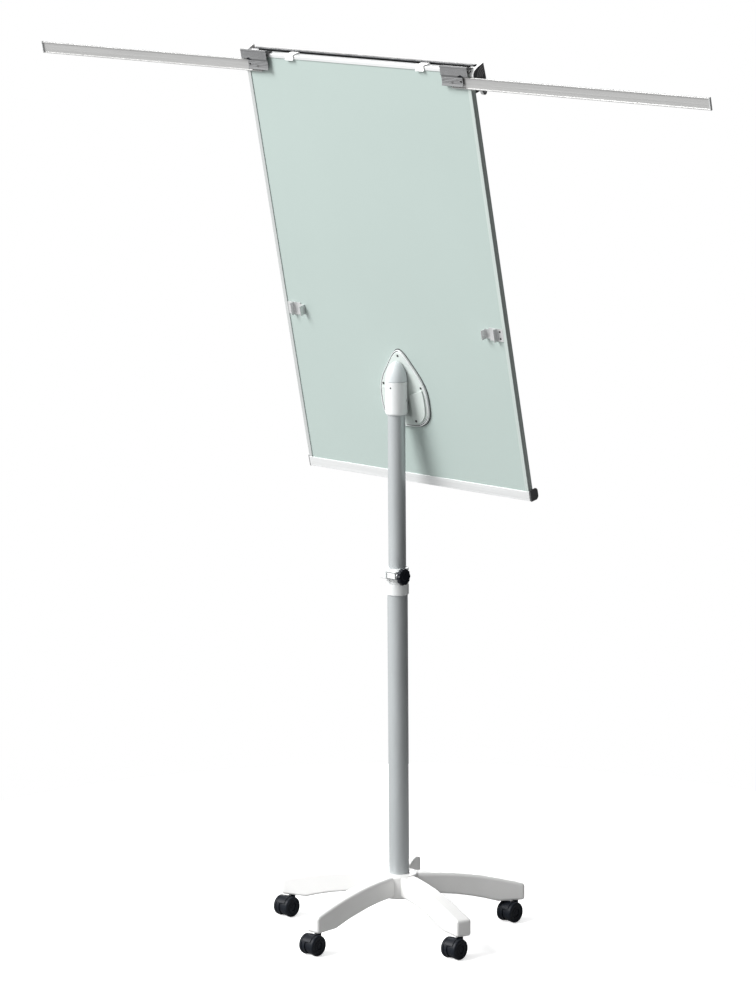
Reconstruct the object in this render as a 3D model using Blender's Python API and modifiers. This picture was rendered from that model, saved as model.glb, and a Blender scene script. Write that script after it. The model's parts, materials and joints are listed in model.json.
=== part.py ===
"""Mobile flipchart easel: five-star base on twin-wheel casters, telescopic mast,
tilting whiteboard with a paper clamp, and two fold-out side arms.

Metres, +Z up.  The floor is z = 0, the board's writing side faces -Y and the
sheet is centred on X = 0.  The board is leaned back against its stop, both
side arms are swung out and the mast stands near its full height.
"""

import math

import bmesh
import bpy
from mathutils import Matrix, Vector

# ---------------------------------------------------------------- dimensions

GAP = 0.0003                    # between two pieces that touch

# Base
POST_Y = -0.0368                # mast axis, so that the footprint is centred on Y = 0
ARM_COUNT = 5
ARM_END = 0.3060                # mast axis to the end of a base arm
ARM_WIDTH = 0.0400
ARM_END_TOP = 0.0920
ARM_END_BOTTOM = 0.0525
HUB_RADIUS = 0.0460
HUB_TOP = 0.1370
HUB_BOTTOM = 0.0800
SOCKET_FLOOR = 0.0960
STEM_RADIUS_FROM_MAST = 0.2857  # mast axis to a caster's swivel axis

# Casters
WHEEL_RADIUS = 0.0250
WHEEL_INNER = 0.0050            # swivel plane to a wheel's inner face
WHEEL_OUTER = 0.0225
WHEEL_NECK = 0.0236             # radius of the wheel's inner half, under the hood
HOOD_RADIUS = 0.0254
HOOD_HALF = 0.0124
CASTER_TRAIL = 0.0200
FORK_HALF = 0.0044
STEM_PIN = 0.0052

# Mast
OUTER_TUBE_RADIUS = 0.0243
OUTER_TUBE_BORE = 0.0225
OUTER_TUBE_TOP = 0.8445
INNER_TUBE_RADIUS = 0.0209
INNER_TUBE_BORE = 0.0193
INNER_TUBE_BOTTOM = 0.5000
COLLAR_RADIUS = 0.0270
COLLAR_BOTTOM = 0.8210
COLLAR_TOP = 0.8850
CLAMP_SCREW_Y = 0.0310          # from the mast axis
CLAMP_SCREW_Z = 0.8730
KNOB_RADIUS = 0.0205
KNOB_FACE = 0.0530              # mast axis to the knob's outer face

# Head
HEAD_RADIUS = 0.0260
HEAD_BOTTOM = 1.2535
HEAD_SEAM = 1.3320
HEAD_TOP = 1.3795
TILT_AXIS_Y = -0.0100           # from the mast axis
TILT_AXIS_Z = 1.2880
TONGUE_HALF = 0.0100

# Board.  Its own frame has d toward the back and s up the sheet, with d = 0 on
# the back of the frame and s = 0 on the top of the lower rail.
LEAN = math.radians(11.8)
TILT_AXIS_D = 0.0203
TILT_AXIS_S = 0.1959
BOARD_HALF = 0.3500
BOARD_TOP = 1.0174
RAIL_WIDTH = 0.0100
RAIL_DEPTH = 0.0150
TOP_RAIL_DEPTH = 0.0200
TOP_RAIL_BOTTOM = 1.0086
TRAY_BOTTOM = -0.0230
PANEL_BACK = -0.0020
PANEL_FRONT = -0.0120
PANEL_TUCK = 0.0045             # how far the sheet enters a rail

# Clamp
CLAMP_HALF = 0.3422
CLAMP_AXIS_D = -0.0270
CLAMP_AXIS_S = 1.0155
CLAMP_CAP_INNER_X = 0.3538
CLAMP_CAP_OUTER_X = 0.3620

# Side arms
SIDE_ARM_X = 0.3040             # sheet's middle to an arm's pivot
SIDE_ARM_S = 0.9874
SIDE_ARM_TIP = 1.0410           # sheet's middle to an arm's tip when swung out
SIDE_ARM_HEIGHT = 0.0278
SIDE_ARM_FRONT = 0.0006
SIDE_ARM_BACK = 0.0050
BRACKET_INNER_X = 0.2720
BRACKET_OUTER_X = 0.3535
CLIP_S = 0.3835
HOOK_X = 0.2040

# ------------------------------------------------------------------- helpers

for old in list(bpy.data.objects):
    bpy.data.objects.remove(old, do_unlink=True)

model = bpy.data.collections.new("flipchart_easel")
cutters = bpy.data.collections.new("cutters")
for group in (model, cutters):
    bpy.context.scene.collection.children.link(group)

LOOKS = {                       # colour, roughness, metallic
    "white_plastic": ((0.82, 0.82, 0.81), 0.35, 0.0),
    "grey_plastic": ((0.12, 0.12, 0.12), 0.45, 0.0),
    "black_plastic": ((0.010, 0.011, 0.014), 0.42, 0.0),
    "tyre": ((0.014, 0.015, 0.019), 0.55, 0.0),
    "grey_paint": ((0.46, 0.47, 0.48), 0.38, 0.35),
    "steel": ((0.55, 0.56, 0.57), 0.30, 1.0),
    "aluminium": ((0.70, 0.70, 0.70), 0.35, 1.0),
    "panel": ((0.52, 0.62, 0.58), 0.50, 0.0),
}

ALONG_X = Matrix(((0, 0, 1, 0), (1, 0, 0, 0), (0, 1, 0, 0), (0, 0, 0, 1)))
ALONG_Y = Matrix(((1, 0, 0, 0), (0, 0, -1, 0), (0, 1, 0, 0), (0, 0, 0, 1)))
ALONG_Z = Matrix.Identity(4)


def place(obj, parent, group=model):
    group.objects.link(obj)
    obj.parent = parent
    return obj


def axis(name, location, parent=None, lean=0.0):
    """An empty that marks a joint's axis or a frame."""
    empty = place(bpy.data.objects.new(name, None), parent)
    empty.location = location
    empty.rotation_euler.x = lean
    empty.empty_display_size = 0.03
    return empty


def finish(obj, look):
    """Give a sub-part its own material and smooth its round faces."""
    colour, roughness, metallic = LOOKS[look]
    material = bpy.data.materials.new(obj.name)
    material.use_nodes = True
    shader = material.node_tree.nodes["Principled BSDF"]
    shader.inputs["Base Color"].default_value = (*colour, 1.0)
    shader.inputs["Roughness"].default_value = roughness
    shader.inputs["Metallic"].default_value = metallic
    obj.data.materials.append(material)
    obj.data.shade_smooth()
    obj.data.set_sharp_from_angle(angle=math.radians(35))
    return obj


def as_tool(obj):
    """Turn an object into a cutter or an added shape that is not a part."""
    for group in list(obj.users_collection):
        group.objects.unlink(obj)
    cutters.objects.link(obj)
    obj.display_type = "WIRE"
    obj.hide_render = True
    return obj


def boolean(obj, tool, operation):
    as_tool(tool)
    modifier = obj.modifiers.new(f"{operation.lower()}_{tool.name}", "BOOLEAN")
    modifier.operation = operation
    modifier.object = tool
    modifier.solver = "EXACT"
    return obj


def cut(obj, *tools):
    for tool in tools:
        boolean(obj, tool, "DIFFERENCE")
    return obj


def join(obj, *tools):
    for tool in tools:
        boolean(obj, tool, "UNION")
    return obj


def bevel(obj, width, segments=2):
    modifier = obj.modifiers.new("bevel", "BEVEL")
    modifier.width = width
    modifier.segments = segments
    modifier.limit_method = "ANGLE"
    modifier.angle_limit = math.radians(40)
    return obj


def from_bmesh(name, shape, parent):
    mesh = bpy.data.meshes.new(name)
    shape.to_mesh(mesh)
    shape.free()
    return place(bpy.data.objects.new(name, mesh), parent)


def box(name, low, high, parent):
    """A box between two corners."""
    low, high = Vector(low), Vector(high)
    shape = bmesh.new()
    bmesh.ops.create_cube(shape, size=1.0)
    bmesh.ops.scale(shape, vec=high - low, verts=shape.verts)
    bmesh.ops.translate(shape, vec=(low + high) / 2, verts=shape.verts)
    return from_bmesh(name, shape, parent)


def rod(name, radius, start, end, parent, direction=ALONG_Z, centre=(0, 0, 0), steps=24):
    """A cylinder from start to end along a direction through centre."""
    shape = bmesh.new()
    bmesh.ops.create_cone(shape, cap_ends=True, segments=steps,
                          radius1=radius, radius2=radius, depth=end - start)
    bmesh.ops.translate(shape, vec=(0, 0, (start + end) / 2), verts=shape.verts)
    bmesh.ops.transform(shape, matrix=Matrix.Translation(centre) @ direction, verts=shape.verts)
    bmesh.ops.recalc_face_normals(shape, faces=shape.faces)
    return from_bmesh(name, shape, parent)


def turned(name, profile, parent, steps=32, closed=False, direction=ALONG_Z):
    """A turned shape: (radius, height) points that run down the outer side."""
    mesh = bpy.data.meshes.new(name)
    points = [direction @ Vector((radius, 0, height)) for radius, height in profile]
    last = len(points) if closed else len(points) - 1
    mesh.from_pydata(points, [(i, (i + 1) % len(points)) for i in range(last)], [])
    obj = place(bpy.data.objects.new(name, mesh), parent)
    screw = obj.modifiers.new("turn", "SCREW")
    screw.axis = "X" if direction is ALONG_X else "Z"
    screw.steps = steps
    screw.render_steps = steps
    screw.use_merge_vertices = True
    screw.merge_threshold = 0.0001
    screw.use_smooth_shade = False
    return obj


def tube(name, outer, inner, bottom, top, parent, steps=32):
    ring = [(outer, top), (outer, bottom), (inner, bottom), (inner, top)]
    return turned(name, ring, parent, steps, closed=True)


def extruded(name, outline, start, end, parent, direction, smooth=0):
    """A flat outline pushed from start to end.  With smooth it is a curve through the points."""
    curve = bpy.data.curves.new(name, "CURVE")
    curve.dimensions = "2D"
    curve.fill_mode = "BOTH"
    curve.extrude = (end - start) / 2
    if smooth:
        spline = curve.splines.new("BEZIER")
        spline.bezier_points.add(len(outline) - 1)
        for point, (x, y) in zip(spline.bezier_points, outline):
            point.co = (x, y, 0)
            point.handle_left_type = "AUTO"
            point.handle_right_type = "AUTO"
        spline.resolution_u = smooth
    else:
        spline = curve.splines.new("POLY")
        spline.points.add(len(outline) - 1)
        for point, (x, y) in zip(spline.points, outline):
            point.co = (x, y, 0, 1)
    spline.use_cyclic_u = True
    source = bpy.data.objects.new(name, curve)
    bpy.context.scene.collection.objects.link(source)
    depsgraph = bpy.context.evaluated_depsgraph_get()
    mesh = bpy.data.meshes.new_from_object(source.evaluated_get(depsgraph))
    bpy.data.objects.remove(source, do_unlink=True)
    shape = bmesh.new()
    shape.from_mesh(mesh)
    bpy.data.meshes.remove(mesh)
    bmesh.ops.remove_doubles(shape, verts=shape.verts, dist=0.00001)
    bmesh.ops.translate(shape, vec=(0, 0, (start + end) / 2), verts=shape.verts)
    bmesh.ops.transform(shape, matrix=direction, verts=shape.verts)
    bmesh.ops.recalc_face_normals(shape, faces=shape.faces)
    return from_bmesh(name, shape, parent)


def arc(centre, radius, start, end, count):
    """Points on an arc, angles in degrees counted from the first axis."""
    points = []
    for i in range(count + 1):
        angle = math.radians(start + (end - start) * i / count)
        points.append((centre[0] + radius * math.cos(angle), centre[1] + radius * math.sin(angle)))
    return points


def eased(outline, corners, size=0.0008):
    """The outline with the corners of these indices cut off."""
    points = []
    for i, here in enumerate(outline):
        here = Vector(here)
        if i not in corners:
            points.append(tuple(here))
            continue
        for other in (outline[i - 1], outline[(i + 1) % len(outline)]):
            points.append(tuple(here + (Vector(other) - here).normalized() * size))
    return points


def mirrored(outline):
    """The same outline for the other side, still running the same way round."""
    return [(-x, y) for x, y in reversed(outline)]


SIDES = (("left", 1), ("right", -1))    # left is +X

# ---------------------------------------------------------------------- base


def build_star_base(floor):
    base = rod("star_base", HUB_RADIUS, HUB_BOTTOM, HUB_TOP, floor, steps=32)
    bevel(base, 0.0050, 2)
    profile = [
        (0.036, 0.1345), (0.036, 0.0850), (0.080, 0.0835), (0.120, 0.0790), (0.165, 0.0710),
        (0.210, 0.0600), (0.240, ARM_END_BOTTOM), (ARM_END, ARM_END_BOTTOM),
        (ARM_END, ARM_END_TOP), (0.265, 0.1040), (0.225, 0.1135), (0.180, 0.1220),
        (0.130, 0.1290), (0.080, 0.1330),
    ]
    for i in range(ARM_COUNT):
        arm = extruded(f"base_arm_{i + 1}", profile, -ARM_WIDTH / 2, ARM_WIDTH / 2, floor, ALONG_Y)
        arm.rotation_euler.z = math.radians(90 + i * 360 / ARM_COUNT)
        bevel(arm, 0.0080, 2)
        join(base, arm)
    cut(base,
        rod("tube_socket", OUTER_TUBE_RADIUS + GAP, SOCKET_FLOOR, 0.2, floor, steps=32),
        rod("base_bolt_hole", 0.0055, 0.05, 0.11, floor, steps=16))
    for i in range(ARM_COUNT):
        x, y = stem_position(i)
        hole = rod(f"stem_hole_{i + 1}", STEM_PIN + GAP, 0.04, 0.0840, floor,
                   centre=(x, y, 0), steps=12)
        cut(base, hole)
    return finish(base, "white_plastic")


def stem_position(i):
    angle = math.radians(90 + i * 360 / ARM_COUNT)
    return STEM_RADIUS_FROM_MAST * math.cos(angle), STEM_RADIUS_FROM_MAST * math.sin(angle)


def build_caster(i, floor):
    """One twin-wheel caster, its wheels trailing toward +Y."""
    number = i + 1
    x, y = stem_position(i)
    swivel = axis(f"caster_{number}_swivel", (x, y, 0), floor)
    axle = axis(f"caster_{number}_axle", (0, CASTER_TRAIL, WHEEL_RADIUS), swivel)

    stem = turned(f"caster_stem_{number}", [
        (0, 0.0830), (STEM_PIN, 0.0830), (STEM_PIN, 0.0522), (0.0078, 0.0522),
        (0.0078, 0.0498), (0.0026, 0.0498), (0.0026, 0.0300), (0, 0.0300),
    ], swivel, steps=12)
    finish(stem, "steel")

    # The hood's plate lies between the wheels and reaches forward under the stem;
    # its arched shell covers the inner halves of both wheels.
    middle = (CASTER_TRAIL, WHEEL_RADIUS)
    plate = [(-0.0070, 0.0492), (-0.0070, 0.0300), (-0.0030, 0.0200)]
    plate += arc(middle, 0.0215, 205, 385, 9)
    plate += arc(middle, HOOD_RADIUS - 0.0006, 25, 100, 5) + [(0.0070, 0.0492)]
    hood = extruded(f"caster_hood_{number}", plate, -FORK_HALF, FORK_HALF, swivel, ALONG_X)
    arch = arc(middle, HOOD_RADIUS, 28, 180, 12) + arc(middle, WHEEL_NECK + 0.0006, 180, 28, 12)
    join(hood,
         extruded(f"hood_shell_{number}", arch, -HOOD_HALF, HOOD_HALF, swivel, ALONG_X),
         rod(f"hood_cap_{number}", 0.0075, 0.0464, 0.0494, swivel, steps=12))
    cut(hood,
        rod(f"hood_stem_hole_{number}", 0.0026 + GAP, 0.0290, 0.0600, swivel, steps=12),
        rod(f"hood_axle_hole_{number}", 0.0030 + GAP, -0.02, 0.02, axle, ALONG_X, steps=12))
    finish(hood, "black_plastic")

    pin = rod(f"caster_axle_{number}", 0.0030, -WHEEL_OUTER + 0.002, WHEEL_OUTER - 0.002,
              axle, ALONG_X, steps=12)
    finish(pin, "steel")

    inner, outer, bore = WHEEL_INNER, WHEEL_OUTER, 0.0030 + GAP
    for letter, side in (("a", 1), ("b", -1)):
        tread = [
            (bore, outer), (0.0190, outer), (0.0235, outer - 0.0012),
            (WHEEL_RADIUS, outer - 0.0035), (WHEEL_RADIUS, HOOD_HALF + 0.0014),
            (WHEEL_NECK, HOOD_HALF + 0.0010), (WHEEL_NECK, inner), (bore, inner),
        ]
        if side < 0:
            tread = [(radius, -height) for radius, height in reversed(tread)]
        wheel = turned(f"caster_wheel_{number}{letter}", tread, axle, steps=20,
                       closed=True, direction=ALONG_X)
        finish(wheel, "tyre")


# ---------------------------------------------------------------------- mast


def build_lower_mast(floor):
    outer = tube("outer_tube", OUTER_TUBE_RADIUS, OUTER_TUBE_BORE,
                 SOCKET_FLOOR + GAP, OUTER_TUBE_TOP, floor)
    finish(outer, "grey_paint")

    plug = tube("post_foot_plug", OUTER_TUBE_BORE - GAP, 0.0053,
                SOCKET_FLOOR + GAP, 0.1250, floor, steps=24)
    finish(plug, "black_plastic")

    bolt = turned("base_bolt", [
        (0, 0.1200), (0.0050, 0.1200), (0.0050, HUB_BOTTOM - GAP),
        (0.0090, HUB_BOTTOM - GAP), (0.0090, 0.0730), (0, 0.0730),
    ], floor, steps=16)
    finish(bolt, "steel")


def build_collar(floor):
    """Split clamp: its skirt sits on the outer tube, its jaws close on the inner tube."""
    collar = turned("height_collar", [
        (INNER_TUBE_RADIUS + GAP, COLLAR_TOP), (COLLAR_RADIUS - 0.0015, COLLAR_TOP),
        (COLLAR_RADIUS, COLLAR_TOP - 0.0015), (COLLAR_RADIUS, COLLAR_BOTTOM),
        (OUTER_TUBE_RADIUS + GAP, COLLAR_BOTTOM), (OUTER_TUBE_RADIUS + GAP, OUTER_TUBE_TOP + GAP),
        (INNER_TUBE_RADIUS + GAP, OUTER_TUBE_TOP + GAP),
    ], floor, closed=True)
    ears = box("collar_ears", (-0.0300, 0.0230, CLAMP_SCREW_Z - 0.0098),
               (0.0200, 0.0400, CLAMP_SCREW_Z + 0.0098), floor)
    bevel(ears, 0.0015, 1)
    join(collar, ears)
    cut(collar,
        box("collar_slit", (-0.0012, 0.0150, OUTER_TUBE_TOP + 0.004), (0.0012, 0.06, 0.9), floor),
        rod("clamp_screw_hole", 0.0033, -0.05, 0.05, floor, ALONG_X,
            (0, CLAMP_SCREW_Y, CLAMP_SCREW_Z), steps=12))
    finish(collar, "white_plastic")

    screw_axis = axis("height_knob_axis", (0, CLAMP_SCREW_Y, CLAMP_SCREW_Z), floor)
    washer = turned("clamp_washer", [
        (0.0033, -0.0303), (0.0080, -0.0303), (0.0080, -0.0325), (0.0033, -0.0325),
    ], screw_axis, steps=16, closed=True, direction=ALONG_X)
    finish(washer, "steel")

    lobes, lobe_height = 10, 0.0007
    rim = []
    for i in range(8 * lobes):
        angle = 2 * math.pi * i / (8 * lobes)
        radius = KNOB_RADIUS - lobe_height + lobe_height * math.cos(lobes * angle)
        rim.append((radius * math.cos(angle), radius * math.sin(angle)))
    knob = extruded("height_knob", rim, -KNOB_FACE, -0.0420, screw_axis, ALONG_X)
    join(knob,
         rod("knob_neck", 0.0085, -0.0450, -0.0328, screw_axis, ALONG_X, steps=24),
         rod("knob_stud", 0.0030, -0.0400, 0.0180, screw_axis, ALONG_X, steps=12))
    finish(knob, "black_plastic")


def build_upper_mast(slide, turn):
    guide = turned("inner_tube_guide", [
        (INNER_TUBE_RADIUS + GAP, INNER_TUBE_BOTTOM + 0.0350),
        (OUTER_TUBE_BORE - GAP, INNER_TUBE_BOTTOM + 0.0350),
        (OUTER_TUBE_BORE - GAP, INNER_TUBE_BOTTOM - 0.0050),
        (0.0180, INNER_TUBE_BOTTOM - 0.0050), (0.0180, INNER_TUBE_BOTTOM - GAP),
        (INNER_TUBE_RADIUS + GAP, INNER_TUBE_BOTTOM - GAP),
    ], slide, closed=True)
    finish(guide, "black_plastic")

    inner = tube("inner_tube", INNER_TUBE_RADIUS, INNER_TUBE_BORE,
                 INNER_TUBE_BOTTOM, HEAD_BOTTOM - GAP, turn)
    finish(inner, "grey_paint")


def build_head(turn, board):
    """Bullet-shaped housing with a slot for the board's tongue and a domed cap."""
    housing = turned("head_housing", [
        (0, HEAD_SEAM), (HEAD_RADIUS, HEAD_SEAM), (HEAD_RADIUS, HEAD_BOTTOM + 0.004),
        (HEAD_RADIUS - 0.0025, HEAD_BOTTOM), (INNER_TUBE_BORE - GAP, HEAD_BOTTOM),
        (INNER_TUBE_BORE - GAP, HEAD_BOTTOM - 0.0600), (0, HEAD_BOTTOM - 0.0600),
    ], turn)
    stop_low, stop_high = (-0.05, -0.10, 0.10), (0.05, 0.0060, 0.32)
    cut(housing,
        box("tongue_slot", (-TONGUE_HALF - 0.0004, -0.05, TILT_AXIS_Z - 0.0130),
            (TONGUE_HALF + 0.0004, TILT_AXIS_Y + 0.0135, 1.4), turn),
        rod("tilt_bolt_hole", 0.0040 + GAP, -0.05, 0.05, turn, ALONG_X,
            (0, TILT_AXIS_Y, TILT_AXIS_Z), steps=16),
        box("housing_stop_face", stop_low, stop_high, board))
    finish(housing, "white_plastic")

    dome = [(0, HEAD_TOP)]
    for i in range(1, 8):
        angle = math.pi / 2 * i / 7
        dome.append((HEAD_RADIUS * math.sin(angle),
                     HEAD_SEAM + GAP + (HEAD_TOP - HEAD_SEAM - GAP) * math.cos(angle)))
    dome.append((0, HEAD_SEAM + GAP))
    cap = turned("head_cap", dome, turn)
    cut(cap, box("cap_stop_face", stop_low, stop_high, board))
    finish(cap, "white_plastic")

    bolt = rod("tilt_bolt", 0.0040, -0.0235, 0.0235, turn, ALONG_X,
               (0, TILT_AXIS_Y, TILT_AXIS_Z), steps=16)
    finish(bolt, "steel")


# --------------------------------------------------------------------- board


def shield_outline(inset=0.0):
    """Pointed shield, its half-widths read from the apex down; inset shrinks it."""
    half = [(0.0450, 0.2660), (0.0690, 0.2240), (0.0740, 0.1880), (0.0690, 0.1500),
            (0.0440, 0.1275)]
    points = [(0.0, 0.3123)] + half + [(0.0, 0.1225)]
    points += [(-x, s) for x, s in reversed(half)]
    middle = 0.2050
    return [(x * (1 - inset / 0.074), middle + (s - middle) * (1 - inset / 0.095))
            for x, s in points]


def build_tilt_bracket(board):
    plate = extruded("shield_plate", shield_outline(), -0.0050, 0.0017, board, ALONG_Y, smooth=3)
    pocket = extruded("shield_pocket", shield_outline(0.0035), -0.0200, -0.0023, board,
                      ALONG_Y, smooth=3)
    cut(plate, pocket)
    finish(plate, "white_plastic")

    # The tongue: a flat foot on the shield, and an eye around the tilt bolt.
    eye, foot_back, foot_front = 0.0105, 0.0026, 0.0038
    d, s = TILT_AXIS_D, TILT_AXIS_S
    side = [(foot_back, s - 0.0300), (foot_front, s - 0.0300), (foot_front, s - 0.0115)]
    side += arc((d, s), eye, -80, 80, 10)
    side += [(foot_front, s + 0.0115), (foot_front, s + 0.0300), (foot_back, s + 0.0300)]
    tongue = extruded("tilt_bracket", side, -TONGUE_HALF, TONGUE_HALF, board, ALONG_X)
    foot = box("bracket_foot", (-0.0200, foot_back, s - 0.0300),
               (0.0200, foot_front, s + 0.0300), board)
    join(tongue, foot)
    cut(tongue, rod("tongue_eye", 0.0040 + GAP, -0.05, 0.05, board, ALONG_X, (0, d, s), steps=16))
    finish(tongue, "steel")


def build_sheet_and_rails(board):
    inside = BOARD_HALF - RAIL_WIDTH + PANEL_TUCK
    sheet = box("board_panel", (-inside, PANEL_FRONT, -PANEL_TUCK),
                (inside, PANEL_BACK, TOP_RAIL_BOTTOM + PANEL_TUCK - 0.0010), board)
    finish(sheet, "panel")

    front, back = PANEL_FRONT - GAP, PANEL_BACK + GAP
    top = extruded("top_rail", eased([
        (0, BOARD_TOP), (0, TOP_RAIL_BOTTOM), (back, TOP_RAIL_BOTTOM),
        (back, TOP_RAIL_BOTTOM + PANEL_TUCK), (front, TOP_RAIL_BOTTOM + PANEL_TUCK),
        (front, TOP_RAIL_BOTTOM), (-TOP_RAIL_DEPTH, TOP_RAIL_BOTTOM), (-TOP_RAIL_DEPTH, BOARD_TOP),
    ], (0, 7)), -BOARD_HALF, BOARD_HALF, board, ALONG_X)
    finish(top, "aluminium")

    tray = extruded("pen_tray", [
        (0, 0), (0, TRAY_BOTTOM), (-0.0250, TRAY_BOTTOM), (-0.0270, TRAY_BOTTOM + 0.0020),
        (-0.0270, -0.0070), (-0.0250, -0.0070), (-0.0248, -0.0180), (-0.0152, -0.0180),
        (-RAIL_DEPTH, 0), (front, 0), (front, -PANEL_TUCK - GAP), (back, -PANEL_TUCK - GAP),
        (back, 0),
    ], -BOARD_HALF, BOARD_HALF, board, ALONG_X)
    finish(tray, "aluminium")

    wall, lip = inside + GAP, BOARD_HALF - RAIL_WIDTH
    section = [
        (BOARD_HALF, -RAIL_DEPTH), (BOARD_HALF, 0), (lip, 0), (lip, back), (wall, back),
        (wall, front), (lip, front), (lip, -RAIL_DEPTH),
    ]
    cap = [(-0.0010, 0.0030), (-0.0010, -0.0215), (-0.0210, -0.0260)]
    cap += arc((-0.0200, -0.0170), 0.0080, 250, 180, 4)
    cap += arc((-0.0190, -0.0060), 0.0090, 180, 90, 5)
    for side, sign in SIDES:
        outline = eased(section, (0, 1))
        outline = outline if sign > 0 else mirrored(outline)
        rail = extruded(f"{side}_rail", outline, GAP, TOP_RAIL_BOTTOM - GAP, board, ALONG_Z)
        finish(rail, "aluminium")
        ends = sorted((sign * (BOARD_HALF + GAP), sign * (BOARD_HALF + 0.0035)))
        end_cap = extruded(f"tray_cap_{side}", cap, *ends, board, ALONG_X)
        finish(end_cap, "grey_plastic")


def build_clamp(board):
    """Sprung paper clamp along the top, on pins that stand on its two end caps."""
    hinge = axis("clamp_axis", (0, CLAMP_AXIS_D, CLAMP_AXIS_S), board)
    front, top, back = -0.0425, CLAMP_AXIS_S + 0.0055, CLAMP_AXIS_D + 0.0008
    wall = 0.0025
    outer = [(back, top)] + arc((front + 0.0090, top - 0.0090), 0.0090, 90, 180, 4)
    outer += arc((front + 0.0065, 0.9635), 0.0065, 180, 270, 4) + [(-0.0165, 0.9555)]
    inner = [(-0.0165, 0.9580), (front + 0.0070, 0.9595), (front + wall, 0.9650),
             (front + wall, top - 0.0080), (front + 0.0080, top - wall), (back, top - wall)]
    shape = [(d - CLAMP_AXIS_D, s - CLAMP_AXIS_S) for d, s in outer + inner]
    bar = extruded("clamp_bar", shape, -CLAMP_HALF, CLAMP_HALF, hinge, ALONG_X)
    finish(bar, "grey_plastic")

    fan = [(-0.0080, 0.9860), (-0.0015, 0.9950), (-0.0003, 1.0030), (-0.0015, 1.0090),
           (-0.0060, 1.0143), (-0.0130, 1.0180), (-0.0220, 1.0208), (-0.0310, 1.0230),
           (-0.0390, 1.0248), (-0.0410, 1.0245), (-0.0425, 1.0000), (-0.0435, 0.9820),
           (-0.0420, 0.9660)]
    fan += arc((-0.0330, 0.9580), 0.0070, 160, 340, 6)
    fan += [(-0.0170, 0.9760)]
    for side, sign in SIDES:
        ends = sorted((sign * CLAMP_CAP_INNER_X, sign * CLAMP_CAP_OUTER_X))
        cap = extruded(f"clamp_cap_{side}", fan, *ends, board, ALONG_X)
        ends = sorted((sign * (CLAMP_HALF - 0.0080), sign * (CLAMP_CAP_INNER_X + 0.0020)))
        pin = rod(f"clamp_pin_{side}", 0.0018, *ends, board, ALONG_X,
                  (0, CLAMP_AXIS_D, CLAMP_AXIS_S), steps=12)
        ends = sorted((sign * (BOARD_HALF + GAP), sign * (CLAMP_CAP_INNER_X + 0.0020)))
        foot = box(f"clamp_cap_foot_{side}", (ends[0], -0.0390, 0.9700),
                   (ends[1], -0.0020, 1.0110), board)
        join(cap, pin, foot)
        finish(cap, "grey_plastic")


def build_pad_hooks(board):
    """Sliding hooks over the top rail, with a peg in front for a pad's punched hole."""
    strip = [
        (0.0040, 1.0060), (0.0055, 1.0075), (0.0025, 1.0100), (0.0025, 1.0185), (0.0010, 1.0200),
        (-0.0210, 1.0200), (-0.0223, 1.0187), (-0.0223, 0.9820), (-0.0203, 0.9820),
        (-0.0203, 1.0177), (0.0003, 1.0177), (0.0003, 1.0095),
    ]
    for side, sign in SIDES:
        slide = axis(f"pad_hook_{side}_slide", (sign * HOOK_X, 0, 0), board)
        hook = extruded(f"pad_hook_{side}", strip, -0.0125, 0.0125, slide, ALONG_X)
        join(hook, rod(f"hook_peg_{side}", 0.0035, 0.0210, 0.0340, slide, ALONG_Y,
                       (0, 0, 0.9870), steps=16))
        finish(hook, "white_plastic")


# ----------------------------------------------------------------- side arms


def build_side_arm(side, sign, board):
    pivot = axis(f"arm_{side}_pivot_axis", (sign * SIDE_ARM_X, 0, SIDE_ARM_S), board)
    half, front, back = SIDE_ARM_HEIGHT / 2, SIDE_ARM_FRONT, SIDE_ARM_BACK
    wall, web = 0.0017, front + 0.0016

    channel = [
        (front, -half), (back, -half), (back, wall - half), (web, wall - half),
        (web, half - wall), (back, half - wall), (back, half), (front, half),
    ]
    ends = sorted((sign * -0.0080, sign * (SIDE_ARM_TIP - SIDE_ARM_X)))
    arm = extruded(f"arm_{side}", channel, *ends, pivot, ALONG_X)
    cut(arm, rod(f"arm_hole_{side}", 0.0034, -0.02, 0.02, pivot, ALONG_Y, steps=16))
    finish(arm, "aluminium")

    rivet = turned(f"arm_pivot_{side}", [
        (0, 0.0016), (0.0070, 0.0014), (0.0070, -0.0003), (0.0030, -0.0003),
        (0.0030, -0.0074), (0, -0.0074),
    ], pivot, steps=16)
    rivet.rotation_euler.x = math.radians(90)
    finish(rivet, "steel")

    # Extruded bracket: a flange over the top rail, and a wall that covers the arm's root.
    section = [
        (-0.0130, BOARD_TOP + GAP), (-0.0130, 1.0199), (-0.0122, 1.0205), (0.0065, 1.0267),
        (0.0087, 1.0258), (0.0095, 1.0235), (0.0095, 1.0055), (0.0076, 1.0015),
        (0.0076, 0.9850), (0.0100, 0.9802), (0.0086, 0.9790), (0.0058, 0.9840),
        (0.0058, 1.0020), (0.0077, 1.0060), (0.0077, 1.0100), (GAP, 1.0100), (GAP, 1.0125),
        (0.0077, 1.0125),
        (0.0077, BOARD_TOP + GAP),
    ]
    ends = sorted((sign * BRACKET_INNER_X, sign * BRACKET_OUTER_X))
    bracket = extruded(f"arm_bracket_{side}", section, *ends, board, ALONG_X)
    window = sorted((sign * 0.3350, sign * 0.3700))
    half_moon = arc((sign * 0.3310, 0.9950), 0.0118, 30, 150, 8)
    cut(bracket,
        box(f"bracket_window_{side}", (window[0], 0.0050, 0.96), (window[1], 0.02, 1.0022), board),
        extruded(f"bracket_notch_{side}", half_moon, -0.0200, -0.0050, board, ALONG_Y),
        rod(f"bracket_rivet_hole_{side}", 0.0033, -0.0200, 0.0, board, ALONG_Y,
            (sign * SIDE_ARM_X, 0, SIDE_ARM_S), steps=16))
    finish(bracket, "aluminium")


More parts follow.
